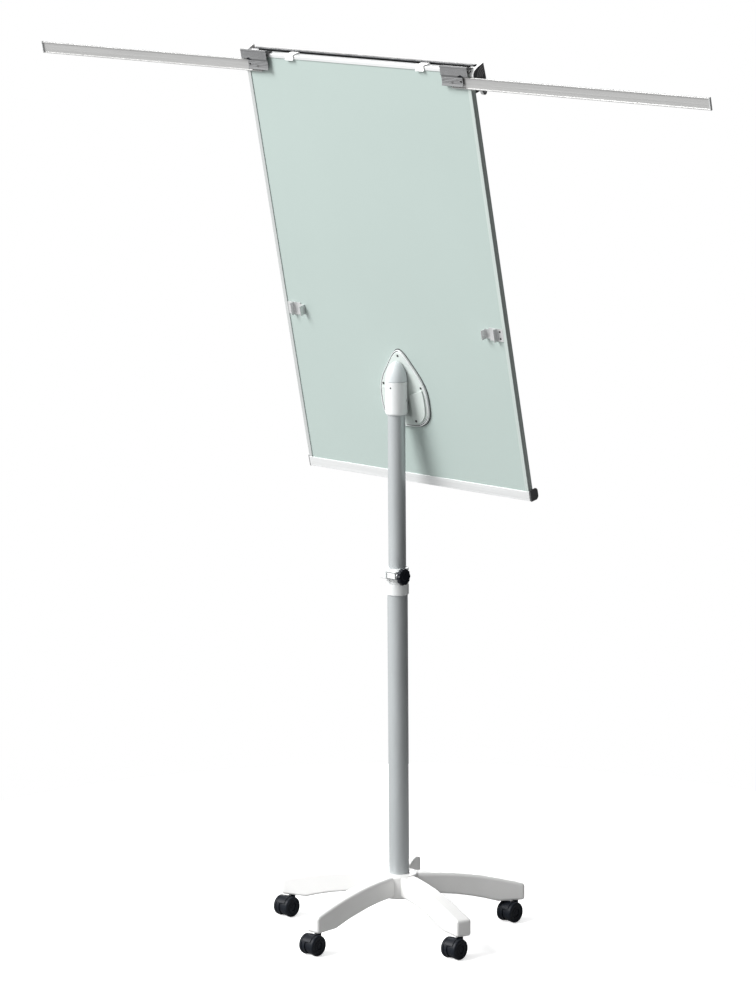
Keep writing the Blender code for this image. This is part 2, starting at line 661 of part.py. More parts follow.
def build_arm_clip(side, sign, board):
    """U-shaped keeper that holds the folded arm: a tall inner wall and a low outer one."""
    section = [
        (0.3395, PANEL_BACK + GAP), (0.3395, -0.0002), (0.3220, -0.0002), (0.3220, 0.0110),
        (0.3197, 0.0110), (0.3197, -0.0002), (0.2880, -0.0002), (0.2880, 0.0160),
        (0.2857, 0.0160), (0.2857, PANEL_BACK + GAP),
    ]
    outline = section if sign > 0 else mirrored(section)
    half, inner_half = 0.0155, 0.0115
    clip = extruded(f"arm_clip_{side}", outline, CLIP_S - half, CLIP_S + half, board, ALONG_Z)
    wall = sorted((sign * 0.2800, sign * 0.2980))
    cut(clip,
        box(f"clip_end_low_{side}", (wall[0], -0.0030, CLIP_S - 0.03),
            (wall[1], 0.03, CLIP_S - inner_half), board),
        box(f"clip_end_high_{side}", (wall[0], -0.0030, CLIP_S + inner_half),
            (wall[1], 0.03, CLIP_S + 0.03), board))
    finish(clip, "aluminium")


# ------------------------------------------------------------------ assembly


def build():
    floor = axis("mast_axis", (0, POST_Y, 0))
    slide = axis("mast_slide", (0, 0, 0), floor)
    turn = axis("mast_turn", (0, 0, 0), slide)
    tilt = axis("tilt_axis", (0, TILT_AXIS_Y, TILT_AXIS_Z), turn, lean=-LEAN)
    board = axis("board_frame", (0, -TILT_AXIS_D, -TILT_AXIS_S), tilt)

    build_star_base(floor)
    for i in range(ARM_COUNT):
        build_caster(i, floor)
    build_lower_mast(floor)
    build_collar(floor)
    build_upper_mast(slide, turn)
    build_head(turn, board)
    build_tilt_bracket(board)
    build_sheet_and_rails(board)
    build_clamp(board)
    build_pad_hooks(board)
    for side, sign in SIDES:
        build_side_arm(side, sign, board)
        build_arm_clip(side, sign, board)


build()
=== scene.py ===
"""Looks of a mobile flipchart easel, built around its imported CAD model.

Metres, +Z up, the floor at z = 0.  Pieces of the board are made in the board's own
frame: x across, d toward the back, s up the sheet, as the CAD model counts them.
"""

import json
import math

import bmesh
import bpy
from mathutils import Matrix, Vector


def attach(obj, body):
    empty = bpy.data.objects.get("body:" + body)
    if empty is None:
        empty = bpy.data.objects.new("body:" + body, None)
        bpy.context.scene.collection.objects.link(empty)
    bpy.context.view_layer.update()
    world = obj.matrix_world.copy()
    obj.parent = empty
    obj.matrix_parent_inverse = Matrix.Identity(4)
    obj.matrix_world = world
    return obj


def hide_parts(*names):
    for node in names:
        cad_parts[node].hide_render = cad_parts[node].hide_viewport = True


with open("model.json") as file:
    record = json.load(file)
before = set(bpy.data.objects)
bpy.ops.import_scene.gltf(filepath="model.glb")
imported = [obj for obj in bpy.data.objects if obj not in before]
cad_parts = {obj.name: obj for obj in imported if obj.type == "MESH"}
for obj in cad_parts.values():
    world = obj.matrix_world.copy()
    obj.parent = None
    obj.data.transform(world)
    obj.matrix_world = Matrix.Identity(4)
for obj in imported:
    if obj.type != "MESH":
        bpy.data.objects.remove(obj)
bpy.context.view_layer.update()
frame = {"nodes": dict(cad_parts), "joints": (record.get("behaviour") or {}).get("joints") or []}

# -------------------------------------------------------------------- places

JOINTS = {joint["name"]: joint for joint in frame["joints"]}
MAST = Vector((*JOINTS["mast_turn"]["pos_m"][:2], 0.0))
TILT = Vector(JOINTS["board_tilt"]["pos_m"])
BACKWARD = Vector(JOINTS["arm_left_fold"]["axis"])
UPWARD = Vector(JOINTS["arm_left_lift"]["axis"])
TILT_D, TILT_S = 0.0203, 0.1959         # the tilt axis in the board's frame

MAST_FRAME = Matrix.Translation(MAST)
BOARD_FRAME = Matrix((
    (1, BACKWARD.x, UPWARD.x, 0), (0, BACKWARD.y, UPWARD.y, 0), (0, BACKWARD.z, UPWARD.z, 0),
    (0, 0, 0, 1),
))
BOARD_FRAME.translation = TILT - TILT_D * BACKWARD - TILT_S * UPWARD

GAP = 0.0003
BOARD_HALF = 0.3500
BOARD_TOP = 1.0174
TOP_RAIL_BOTTOM = 1.0086
TRAY_BOTTOM = -0.0230
PANEL_BACK, PANEL_FRONT = -0.0020, -0.0120
CLAMP_HALF = 0.3422
BRACKET_INNER_X, BRACKET_OUTER_X = 0.2720, 0.3535
CLAMP_AXIS_D, CLAMP_AXIS_S = -0.0270, 1.0155
CAP_INNER_X, CAP_OUTER_X = 0.3538, 0.3620
ARM_PIVOT = Vector((0.3040, 0.0, 0.9874))
ARM_TIP = 1.0410
ARM_HEIGHT = 0.0278
CLIP_S = 0.3835
HOOK_X = 0.2040
HEAD_RADIUS, HEAD_BOTTOM, HEAD_SEAM, HEAD_TOP = 0.0260, 1.2535, 1.3320, 1.3795
HEAD_FACE_D = 0.0060
# A small dark rod on the housing is painted shade of a small hole: its turn about the mast in degrees,
# and its height.
HEAD_HOLE_TURN, HEAD_HOLE_Z = 10, 1.3190
INNER_RADIUS, OUTER_RADIUS = 0.0209, 0.0243
OUTER_TOP, INNER_LOW = 0.8445, 0.5000    # ends of the outer and the inner tube
SIDES = (("left", 1), ("right", -1))    # left is +X

# A direction matrix sends an outline's two axes and its depth to x, y and z.
ALONG_X = Matrix(((0, 0, 1, 0), (1, 0, 0, 0), (0, 1, 0, 0), (0, 0, 0, 1)))
ALONG_Y = Matrix(((1, 0, 0, 0), (0, 0, 1, 0), (0, 1, 0, 0), (0, 0, 0, 1)))
ALONG_Z = Matrix.Identity(4)

# ----------------------------------------------------------------- materials


class Look:
    """A Principled material and the few procedural details that pieces share."""

    def __init__(self, name, colour, roughness, metallic=0.0, **extra):
        self.material = bpy.data.materials.new(name)
        self.material.use_nodes = True
        self.nodes = self.material.node_tree.nodes
        self.links = self.material.node_tree.links
        self.shader = self.nodes["Principled BSDF"]
        self.shader.inputs["Base Color"].default_value = (*colour, 1)
        self.shader.inputs["Roughness"].default_value = roughness
        self.shader.inputs["Metallic"].default_value = metallic
        for socket, value in extra.items():
            self.shader.inputs[socket.replace("_", " ")].default_value = value
        self.colour, self.roughness = colour, roughness
        self.coordinates = self.nodes.new("ShaderNodeTexCoord")

    def node(self, kind, **settings):
        node = self.nodes.new(kind)
        for key, value in settings.items():
            setattr(node, key, value)
        return node

    def noise(self, scale, detail=3.0, stretch=(1, 1, 1), rough=0.5):
        """Noise in the piece's own coordinates, features about 1 / scale metres."""
        mapping = self.node("ShaderNodeMapping")
        mapping.inputs["Scale"].default_value = stretch
        self.links.new(self.coordinates.outputs["Object"], mapping.inputs["Vector"])
        noise = self.node("ShaderNodeTexNoise")
        noise.inputs["Scale"].default_value = scale
        noise.inputs["Detail"].default_value = detail
        noise.inputs["Roughness"].default_value = rough
        self.links.new(mapping.outputs["Vector"], noise.inputs["Vector"])
        return noise.outputs["Fac"]

    def cells(self, scale):
        """Rounded cells, as of a moulded leather grain."""
        voronoi = self.node("ShaderNodeTexVoronoi", feature="SMOOTH_F1")
        voronoi.inputs["Scale"].default_value = scale
        self.links.new(self.coordinates.outputs["Object"], voronoi.inputs["Vector"])
        return voronoi.outputs["Distance"]

    def ramp(self, value, low, high):
        """The value from 0.3 to 0.7 spread between two greys or colours."""
        ramp = self.node("ShaderNodeValToRGB")
        first, last = ramp.color_ramp.elements
        first.position, last.position = 0.3, 0.7
        first.color = (*low, 1)
        last.color = (*high, 1)
        self.links.new(value, ramp.inputs["Fac"])
        return ramp.outputs["Color"]

    def tint(self, value, spread):
        """Vary the colour by a share of itself."""
        low = [part * (1 - spread) for part in self.colour]
        high = [min(1.0, part * (1 + spread)) for part in self.colour]
        self.links.new(self.ramp(value, low, high), self.shader.inputs["Base Color"])

    def gloss(self, value, spread):
        """Vary the roughness up and down by spread."""
        low, high = self.roughness - spread, self.roughness + spread
        self.links.new(self.ramp(value, (low,) * 3, (high,) * 3), self.shader.inputs["Roughness"])

    def bump(self, value, depth, strength=0.4):
        bump = self.node("ShaderNodeBump")
        bump.inputs["Strength"].default_value = strength
        bump.inputs["Distance"].default_value = depth
        self.links.new(value, bump.inputs["Height"])
        before = self.shader.inputs["Normal"]
        if before.is_linked:
            self.links.new(before.links[0].from_socket, bump.inputs["Normal"])
        self.links.new(bump.outputs["Normal"], before)


def moulded(name, colour, roughness, grain=700, depth=0.00012):
    """Injection-moulded plastic: spark-eroded grain over very soft sink marks."""
    look = Look(name, colour, roughness, Specular_IOR_Level=0.5)
    look.tint(look.noise(9, 4), 0.025)
    look.gloss(look.noise(60, 3), 0.06)
    look.bump(look.noise(22, 2), 0.0006, 0.10)
    look.bump(look.noise(grain, 4, rough=0.6), depth)
    return look.material


def leathery(name, colour, roughness, scale=900):
    """Black plastic or rubber with a cell grain."""
    look = Look(name, colour, roughness, Specular_IOR_Level=0.22)
    look.tint(look.noise(120, 4), 0.25)
    look.gloss(look.noise(160, 3), 0.08)
    look.bump(look.cells(scale), 0.0003, 0.30)
    return look.material


def drawn(name, colour, roughness, stretch, metallic=1.0):
    """Extruded and anodised aluminium: fine die lines along its length."""
    look = Look(name, colour, roughness, metallic)
    lines = look.noise(900, 4, stretch, 0.7)
    look.tint(look.noise(260, 3, stretch), 0.06)
    look.gloss(lines, 0.08)
    look.bump(lines, 0.00008, 0.35)
    return look.material


def coated_tube(name, colour, roughness):
    """Powder-coated steel tube: a fine orange peel and a faint flow up the tube."""
    look = Look(name, colour, roughness, 0.45, Coat_Weight=0.25, Coat_Roughness=0.25)
    look.tint(look.noise(40, 4, (1, 1, 0.15)), 0.04)
    look.gloss(look.noise(300, 3), 0.05)
    look.bump(look.noise(620, 3), 0.00018, 0.30)
    return look.material


def plated(name, colour, roughness):
    look = Look(name, colour, roughness, 1.0)
    look.tint(look.noise(500, 4), 0.10)
    look.gloss(look.noise(350, 3), 0.08)
    look.bump(look.noise(1500, 2), 0.00006, 0.30)
    return look.material


def painted_sheet(name, colour, roughness, peel):
    """Coil-coated steel sheet: cloudy on the scale of a hand, a fine peel close up."""
    look = Look(name, colour, roughness, Specular_IOR_Level=0.5)
    look.tint(look.noise(3.2, 5), 0.012)
    look.gloss(look.noise(14, 4), 0.04)
    look.bump(look.noise(420, 3), peel, 0.35)
    return look.material


ALONG_LENGTH = (0.012, 1, 1)
UP_LENGTH = (1, 1, 0.012)

LOOKS = {name: make(name, *values) for name, make, *values in (
    ("base_white", moulded, (0.86, 0.86, 0.85), 0.40),
    ("head_white", moulded, (0.79, 0.81, 0.81), 0.38, 900, 0.00009),
    ("dome_white", moulded, (0.64, 0.68, 0.69), 0.36, 900, 0.00009),
    ("shield_grey", moulded, (0.59, 0.645, 0.62), 0.40, 900, 0.00009),
    ("hook_white", moulded, (0.90, 0.90, 0.90), 0.32, 1100, 0.00007),
    ("clamp_grey", moulded, (0.038, 0.040, 0.043), 0.42, 900),
    ("cap_grey", moulded, (0.100, 0.102, 0.106), 0.45, 900),
    ("tip_grey", moulded, (0.52, 0.53, 0.53), 0.45, 900),
    ("rib_grey", moulded, (0.36, 0.36, 0.365), 0.45, 900),
    ("black_plastic", leathery, (0.0065, 0.0085, 0.0135), 0.40),
    ("tyre", leathery, (0.0055, 0.0080, 0.0130), 0.48, 1300),
    ("tube_grey", coated_tube, (0.51, 0.54, 0.55), 0.36),
    ("zinc", plated, (0.60, 0.61, 0.62), 0.32),
    ("rivet_steel", plated, (0.22, 0.22, 0.22), 0.45),
    ("dark_zinc", plated, (0.09, 0.09, 0.09), 0.38),
    ("rail", drawn, (0.80, 0.81, 0.81), 0.38, ALONG_LENGTH, 0.5),
    ("rail_upright", drawn, (0.61, 0.63, 0.625), 0.38, UP_LENGTH, 0.5),
    ("rail_shaded", drawn, (0.57, 0.64, 0.61), 0.42, UP_LENGTH, 0.4),
    ("arm_alloy", drawn, (0.50, 0.50, 0.495), 0.42, ALONG_LENGTH, 0.7),
    ("bracket_alloy", drawn, (0.158, 0.160, 0.163), 0.50, ALONG_LENGTH, 0.15),
    ("clip_alloy", drawn, (0.72, 0.73, 0.73), 0.38, UP_LENGTH, 0.7),
    ("board_back", painted_sheet, (0.413, 0.490, 0.464), 0.42, 0.00012),
    ("board_front", painted_sheet, (0.88, 0.89, 0.89), 0.14, 0.00003),
)}

# ------------------------------------------------------------------- helpers

loose = bpy.context.scene.collection


def mesh_object(name, shape, matrix):
    mesh = bpy.data.meshes.new(name)
    shape.to_mesh(mesh)
    shape.free()
    obj = bpy.data.objects.new(name, mesh)
    loose.objects.link(obj)
    obj.matrix_world = matrix
    return obj


def box(name, low, high, matrix):
    low, high = Vector(low), Vector(high)
    shape = bmesh.new()
    bmesh.ops.create_cube(shape, size=1.0)
    bmesh.ops.scale(shape, vec=high - low, verts=shape.verts)
    bmesh.ops.translate(shape, vec=(low + high) / 2, verts=shape.verts)
    return mesh_object(name, shape, matrix)


def rod(name, radius, start, end, matrix, direction=ALONG_Z, centre=(0, 0, 0), steps=48):
    """A cylinder from start to end along a direction through centre."""
    shape = bmesh.new()
    bmesh.ops.create_cone(shape, cap_ends=True, segments=steps,
                          radius1=radius, radius2=radius, depth=end - start)
    bmesh.ops.translate(shape, vec=(0, 0, (start + end) / 2), verts=shape.verts)
    bmesh.ops.transform(shape, matrix=Matrix.Translation(centre) @ direction, verts=shape.verts)
    bmesh.ops.recalc_face_normals(shape, faces=shape.faces)
    return mesh_object(name, shape, matrix)


def turned(name, profile, matrix, direction=ALONG_Z, centre=(0, 0, 0), steps=64, closed=False):
    """A solid turned from (radius, height) points; closed joins the last to the first."""
    shape = bmesh.new()
    rings = []
    for radius, height in profile:
        if radius < 1e-6:
            rings.append([shape.verts.new((0, 0, height))])
            continue
        ring = []
        for i in range(steps):
            angle = 2 * math.pi * i / steps
            ring.append(shape.verts.new((radius * math.cos(angle), radius * math.sin(angle), height)))
        rings.append(ring)
    pairs = list(zip(rings, rings[1:]))
    if closed:
        pairs.append((rings[-1], rings[0]))
    for one, two in pairs:
        for i in range(steps):
            j = (i + 1) % steps
            corners = [one[i % len(one)], one[j % len(one)], two[j % len(two)], two[i % len(two)]]
            corners = list(dict.fromkeys(corners))
            if len(corners) > 2:
                shape.faces.new(corners)
    bmesh.ops.transform(shape, matrix=Matrix.Translation(centre) @ direction, verts=shape.verts)
    bmesh.ops.recalc_face_normals(shape, faces=shape.faces)
    return mesh_object(name, shape, matrix)


def extruded(name, outline, start, end, matrix, direction=ALONG_X):
    """A flat outline pushed from start to end."""
    shape = bmesh.new()
    low = [shape.verts.new((x, y, start)) for x, y in outline]
    high = [shape.verts.new((x, y, end)) for x, y in outline]
    shape.faces.new(low)
    shape.faces.new(high)
    for i in range(len(outline)):
        j = (i + 1) % len(outline)
        shape.faces.new((low[i], low[j], high[j], high[i]))
    bmesh.ops.transform(shape, matrix=direction, verts=shape.verts)
    bmesh.ops.recalc_face_normals(shape, faces=shape.faces)
    return mesh_object(name, shape, matrix)


def stacked(name, rings, matrix):
    """A closed solid through rings of equal counts, its first and last ring filled."""
    shape = bmesh.new()
    loops = [[shape.verts.new(point) for point in ring] for ring in rings]
    for one, two in zip(loops, loops[1:]):
        for i in range(len(one)):
            j = (i + 1) % len(one)
            shape.faces.new((one[i], one[j], two[j], two[i]))
    shape.faces.new(loops[0])
    shape.faces.new(loops[-1])
    bmesh.ops.recalc_face_normals(shape, faces=shape.faces)
    return mesh_object(name, shape, matrix)


def arc(centre, radius, start, end, count):
    """Points on an arc, angles in degrees counted from the first axis."""
    points = []
    for i in range(count + 1):
        angle = math.radians(start + (end - start) * i / count)
        points.append((centre[0] + radius * math.cos(angle), centre[1] + radius * math.sin(angle)))
    return points


def smooth_loop(points, steps):
    """A closed Catmull-Rom curve through the points."""
    curve = []
    points = [Vector(point) for point in points]
    for i in range(len(points)):
        p0, p1, p2, p3 = (points[(i + k) % len(points)] for k in (-1, 0, 1, 2))
        for k in range(steps):
            t = k / steps
            curve.append(0.5 * (2 * p1 + (p2 - p0) * t + (2 * p0 - 5 * p1 + 4 * p2 - p3) * t ** 2
                                + (3 * p1 - p0 - 3 * p2 + p3) * t ** 3))
    return [tuple(point) for point in curve]


def mirrored(outline):
    return [(-x, y) for x, y in reversed(outline)]


def spread(sign, low, high):
    """Two x values given for the left side, in rising order on either side."""
    return sorted((sign * low, sign * high))


def settle(obj):
    """Apply the modifiers made so far."""
    depsgraph = bpy.context.evaluated_depsgraph_get()
    mesh = bpy.data.meshes.new_from_object(obj.evaluated_get(depsgraph))
    obj.modifiers.clear()
    obj.data = mesh
    return obj


def combine(obj, tools, operation):
    for tool in tools:
        modifier = obj.modifiers.new(operation.lower(), "BOOLEAN")
        modifier.operation = operation
        modifier.object = tool
        modifier.solver = "EXACT"
    settle(obj)
    for tool in tools:
        bpy.data.objects.remove(tool, do_unlink=True)
    return obj


def cut(obj, *tools):
    return combine(obj, tools, "DIFFERENCE")


def join(obj, *tools):
    return combine(obj, tools, "UNION")


def bevel(obj, width, segments=3, angle=35):
    modifier = obj.modifiers.new("bevel", "BEVEL")
    modifier.width = width
    modifier.segments = segments
    modifier.limit_method = "ANGLE"
    modifier.angle_limit = math.radians(angle)
    return obj


def gather(name, parts):
    """Several closed bodies as one piece."""
    for part in parts:
        settle(part)
    shape = bmesh.new()
    for part in parts:
        start = len(shape.verts)
        shape.from_mesh(part.data)
        shape.verts.ensure_lookup_table()
        bmesh.ops.transform(shape, matrix=part.matrix_world, verts=shape.verts[start:])
    for part in parts:
        bpy.data.objects.remove(part, do_unlink=True)
    return mesh_object(name, shape, Matrix.Identity(4))


def dress(obj, look, body, slot, *replaced, sharp=32):
    """Give a piece its material, its body and the CAD nodes it stands for. The slot is not used."""
    settle(obj)
    obj.data.materials.clear()
    obj.data.materials.append(LOOKS[look])
    obj.data.shade_smooth()
    obj.data.set_sharp_from_angle(angle=math.radians(sharp))
    normals = obj.modifiers.new("normals", "WEIGHTED_NORMAL")
    normals.keep_sharp = True
    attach(obj, body)
    if replaced:
        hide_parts(*replaced)
    return obj


def paint_node(node, look):
    """A CAD node that stays, with a better material."""
    obj = frame["nodes"][node]
    obj.data.materials.clear()
    obj.data.materials.append(LOOKS[look])


# ---------------------------------------------------------------------- base

LEG_COUNT = 5
HUB_RADIUS, HUB_TOP, HUB_BOTTOM = 0.0460, 0.1370, 0.0800
LEG_ROOT, LEG_END, LEG_HALF = 0.0360, 0.3060, 0.0200
LEG_RIDGE, LEG_BELLY = (0.1350, 0.0920), (0.0850, 0.0525)   # heights at the root and the end
LEG_BELLY_END = 0.2400


def parabola(start, end, share):
    return start + (end - start) * share ** 2


def build_star_base():
    base = rod("star_base_shell", HUB_RADIUS, HUB_BOTTOM, HUB_TOP, MAST_FRAME, steps=96)
    settle(bevel(base, 0.0060, 6))
    steps = 18
    top, bottom = [], []
    for i in range(steps + 1):
        share = i / steps
        top.append((LEG_ROOT + (LEG_END - LEG_ROOT) * share, parabola(*LEG_RIDGE, share)))
        bottom.append((LEG_ROOT + (LEG_BELLY_END - LEG_ROOT) * share, parabola(*LEG_BELLY, share)))
    profile = bottom + [(LEG_END, LEG_BELLY[1])] + top[::-1]
    legs = []
    for i in range(LEG_COUNT):
        turn = MAST_FRAME @ Matrix.Rotation(math.radians(90 + i * 360 / LEG_COUNT), 4, "Z")
        leg = extruded("leg", profile, -LEG_HALF, LEG_HALF, turn, ALONG_Y)
        legs.append(settle(bevel(leg, 0.0070, 5, 50)))
    join(base, *legs)
    cut(base,
        rod("socket", OUTER_RADIUS + GAP, 0.0960, 0.2, MAST_FRAME, steps=96),
        rod("bolt_hole", 0.0055, 0.05, 0.11, MAST_FRAME, steps=24))
    dress(base, "base_white", "base", "white_plastic", "star_base", sharp=40)


# ------------------------------------------------------------------- casters

WHEEL_RADIUS, WHEEL_NECK, WHEEL_INNER, WHEEL_OUTER = 0.0250, 0.0236, 0.0050, 0.0225
HOOD_RADIUS, HOOD_HALF = 0.0254, 0.0124


def build_caster(number):
    swivel = Vector(JOINTS[f"caster_{number}_swivel"]["pos_m"])
    swivel.z = 0
    here = Matrix.Translation(swivel)
    axle = Vector(JOINTS[f"wheel_{number}a_spin"]["pos_m"]) - swivel

    middle = (axle.y, axle.z)
    plate = [(-0.0070, 0.0490), (-0.0070, 0.0300), (-0.0030, 0.0200)]
    plate += arc(middle, 0.0215, 205, 385, 26)
    plate += arc(middle, HOOD_RADIUS - 0.0006, 25, 100, 10) + [(0.0070, 0.0490)]
    hood = bevel(extruded(f"caster_fork_{number}", plate, -0.0044, 0.0044, here), 0.0006, 2)
    settle(hood)
    arch = arc(middle, HOOD_RADIUS, 28, 180, 30) + arc(middle, WHEEL_NECK + 0.0006, 180, 28, 30)
    shell = settle(bevel(extruded("shell", arch, -HOOD_HALF, HOOD_HALF, here), 0.0003, 2, 50))
    boss = settle(bevel(rod("boss", 0.0075, 0.0400, 0.0494, here, steps=40), 0.0010, 2))
    join(hood, shell, boss)
    dress(hood, "black_plastic", f"caster_{number}", "black_plastic", f"caster_hood_{number}")

    for letter, sign in (("a", 1), ("b", -1)):
        face = WHEEL_OUTER
        profile = [
            (0.0, face - 0.0012), (0.0040, face - 0.0010), (0.0052, face - 0.0024),
            (0.0098, face - 0.0030), (0.0108, face - 0.0008), (0.0126, face - 0.0008),
            (0.0134, face - 0.0020), (0.0190, face - 0.0016), (0.0198, face - 0.0002),
            (0.0215, face), (0.0230, face - 0.0006), (0.0243, face - 0.0018),
            (WHEEL_RADIUS, face - 0.0038), (WHEEL_RADIUS, HOOD_HALF + 0.0020),
            (WHEEL_RADIUS - 0.0004, HOOD_HALF + 0.0014), (WHEEL_NECK, HOOD_HALF + 0.0011),
            (WHEEL_NECK, WHEEL_INNER), (0.0034, WHEEL_INNER), (0.0034, WHEEL_INNER + 0.0050),
            (0.0, WHEEL_INNER + 0.0050),
        ]
        profile = [(radius, sign * height) for radius, height in profile]
        wheel = turned(f"caster_tread_{number}{letter}", profile, here, ALONG_X, tuple(axle), 56)
        dress(wheel, "tyre", f"wheel_{number}{letter}", "tyre",
              f"caster_wheel_{number}{letter}", sharp=28)


# ---------------------------------------------------------------------- mast


def build_tubes():
    for name, body, radius, wall, low, high, replaced in (
        ("lower_tube", "base", OUTER_RADIUS, 0.0018, 0.0963, OUTER_TOP, "outer_tube"),
        ("upper_tube", "mast", INNER_RADIUS, 0.0016, INNER_LOW, HEAD_BOTTOM - GAP, "inner_tube"),
    ):
        ease = 0.0005
        tube = turned(name, [
            (radius - wall, high), (radius - ease, high), (radius, high - ease),
            (radius, low + ease), (radius - ease, low), (radius - wall, low),
        ], MAST_FRAME, steps=96, closed=True)
        dress(tube, "tube_grey", body, "grey_paint", replaced)


COLLAR_RADIUS, COLLAR_BOTTOM, COLLAR_TOP = 0.0270, 0.8210, 0.8850
SCREW_Y, SCREW_Z = 0.0310, 0.8730
EAR_HALF, NUT_HALF = 0.0098, 0.0082
SCREW = MAST_FRAME @ Matrix.Translation((0, SCREW_Y, SCREW_Z))


def build_collar():
    bore, neck = OUTER_RADIUS + GAP, INNER_RADIUS + GAP
    collar = turned("clamp_collar", [
        (neck, COLLAR_TOP), (COLLAR_RADIUS - 0.0026, COLLAR_TOP),
        (COLLAR_RADIUS - 0.0010, COLLAR_TOP - 0.0006), (COLLAR_RADIUS - 0.0002, COLLAR_TOP - 0.0020),
        (COLLAR_RADIUS - 0.0002, 0.8475), (COLLAR_RADIUS - 0.0008, 0.8468),
        (COLLAR_RADIUS - 0.0008, 0.8459), (COLLAR_RADIUS, 0.8452),
        (COLLAR_RADIUS, COLLAR_BOTTOM + 0.0008), (COLLAR_RADIUS - 0.0006, COLLAR_BOTTOM),
        (bore, COLLAR_BOTTOM), (bore, OUTER_TOP + GAP), (neck, OUTER_TOP + GAP),
    ], MAST_FRAME, steps=96, closed=True)
    ears = box("ears", (-0.0300, 0.0200, SCREW_Z - EAR_HALF), (0.0200, 0.0400, SCREW_Z + EAR_HALF),
               MAST_FRAME)
    settle(bevel(ears, 0.0022, 4))
    join(collar, ears)
    cut(collar,
        rod("clear", neck, 0.846, 0.95, MAST_FRAME, steps=96),
        box("slit", (-0.0014, 0.0150, 0.8485), (0.0014, 0.06, 0.9), MAST_FRAME),
        rod("screw_hole", 0.0033, -0.05, 0.05, SCREW, ALONG_X, steps=24))
    dress(collar, "head_white", "base", "white_plastic", "height_collar", sharp=35)
    # Four thin dark grey strips on the ears' face draw the seam round a nut: painted shade of that
    # seam.
    edges = []
    for left, right, low, high in (
        (-0.0292, -0.0278, -NUT_HALF, NUT_HALF), (-0.0036, -0.0022, -NUT_HALF, NUT_HALF),
        (-0.0278, -0.0036, 0.0068, NUT_HALF), (-0.0278, -0.0036, -NUT_HALF, -0.0068),
    ):
        edges.append(box("edge", (left, 0.0396, SCREW_Z + low), (right, 0.0403, SCREW_Z + high),
                         MAST_FRAME))
    outline = gather("collar_nut_seam_shade", edges)
    dress(outline, "clamp_grey", "base", "grey_plastic")


def build_knob():
    """Knob with ten soft lobes, a dished face and a raised centre."""
    lobes, count = 10, 160

    def ring(radius, depth, height):
        points = []
        for i in range(count):
            angle = 2 * math.pi * i / count
            wave = radius - depth + depth * math.cos(lobes * angle)
            points.append((height, wave * math.cos(angle), wave * math.sin(angle)))
        return points

    rings = [
        ring(0.0085, 0, -0.0330), ring(0.0085, 0, -0.0418), ring(0.0150, 0.0004, -0.0424),
        ring(0.0197, 0.0006, -0.0428), ring(0.0205, 0.0008, -0.0438), ring(0.0205, 0.0008, -0.0500),
        ring(0.0199, 0.0008, -0.0516), ring(0.0182, 0.0006, -0.0526), ring(0.0140, 0.0003, -0.0522),
        ring(0.0105, 0, -0.0516), ring(0.0090, 0, -0.0518), ring(0.0080, 0, -0.0528),
        ring(0.0060, 0, -0.0530),
    ]
    knob = stacked("star_knob", rings, SCREW)
    stud = rod("stud", 0.0030, -0.0332, 0.0180, SCREW, ALONG_X, steps=24)
    join(knob, stud)
    dress(knob, "black_plastic", "knob", "black_plastic", "height_knob")


def head_stop():
    """What is faced off the head's front, so that the leaned-back board stays clear of it."""
    return box("stop", (-0.06, -0.10, 0.08), (0.06, HEAD_FACE_D, 0.34), BOARD_FRAME)


def build_head():
    """Bullet-shaped housing and dome, their front faced off parallel to the leaned-back board."""
    groove = 0.0004
    housing = turned("head_shell", [
        (0, HEAD_SEAM), (HEAD_RADIUS - 0.0010, HEAD_SEAM), (HEAD_RADIUS, HEAD_SEAM - 0.0008),
        (HEAD_RADIUS, HEAD_BOTTOM + 0.0060), (HEAD_RADIUS - 0.0006, HEAD_BOTTOM + 0.0028),
        (HEAD_RADIUS - 0.0018, HEAD_BOTTOM + 0.0008), (HEAD_RADIUS - 0.0030, HEAD_BOTTOM),
        (0.0190, HEAD_BOTTOM), (0.0190, HEAD_BOTTOM - 0.0600), (0, HEAD_BOTTOM - 0.0600),
    ], MAST_FRAME, steps=96)
    slot_low, slot_high = (-0.0104, -0.05, TILT.z - 0.0130), (0.0104, TILT.y - MAST.y + 0.0135, 1.4)
    cut(housing,
        head_stop(),
        box("slot", slot_low, slot_high, MAST_FRAME),
        rod("bolt_hole", 0.0043, -0.05, 0.05, Matrix.Translation(TILT), ALONG_X, steps=32))
    dress(housing, "head_white", "mast", "white_plastic", "head_housing", sharp=40)
    # A short dark rod, just proud of the housing, is painted shade for the dark inside of a small hole.
    pin = rod("head_hole_shade", 0.0021, 0.0215, HEAD_RADIUS + 0.0002,
              MAST_FRAME @ Matrix.Rotation(math.radians(HEAD_HOLE_TURN), 4, "Z"), ALONG_Y,
              (0, 0, HEAD_HOLE_Z), 24)
    dress(pin, "dark_zinc", "mast", "steel")

    dome = [(0, HEAD_SEAM + GAP)]
    dome += [(HEAD_RADIUS - 0.0010, HEAD_SEAM + GAP), (HEAD_RADIUS - groove, HEAD_SEAM + 0.0008)]
    steps = 16
    for i in range(steps + 1):
        angle = math.pi / 2 * (1 - i / steps)
        rise = HEAD_SEAM + 0.0010 + (HEAD_TOP - HEAD_SEAM - 0.0010) * math.cos(angle)
        dome.append((HEAD_RADIUS * math.sin(angle) if i < steps else 0, rise))
    cap = turned("head_dome", dome, MAST_FRAME, steps=96)
    cut(cap, head_stop())
    dress(cap, "dome_white", "mast", "white_plastic", "head_cap", sharp=40)


# -------------------------------------------------------------------- shield

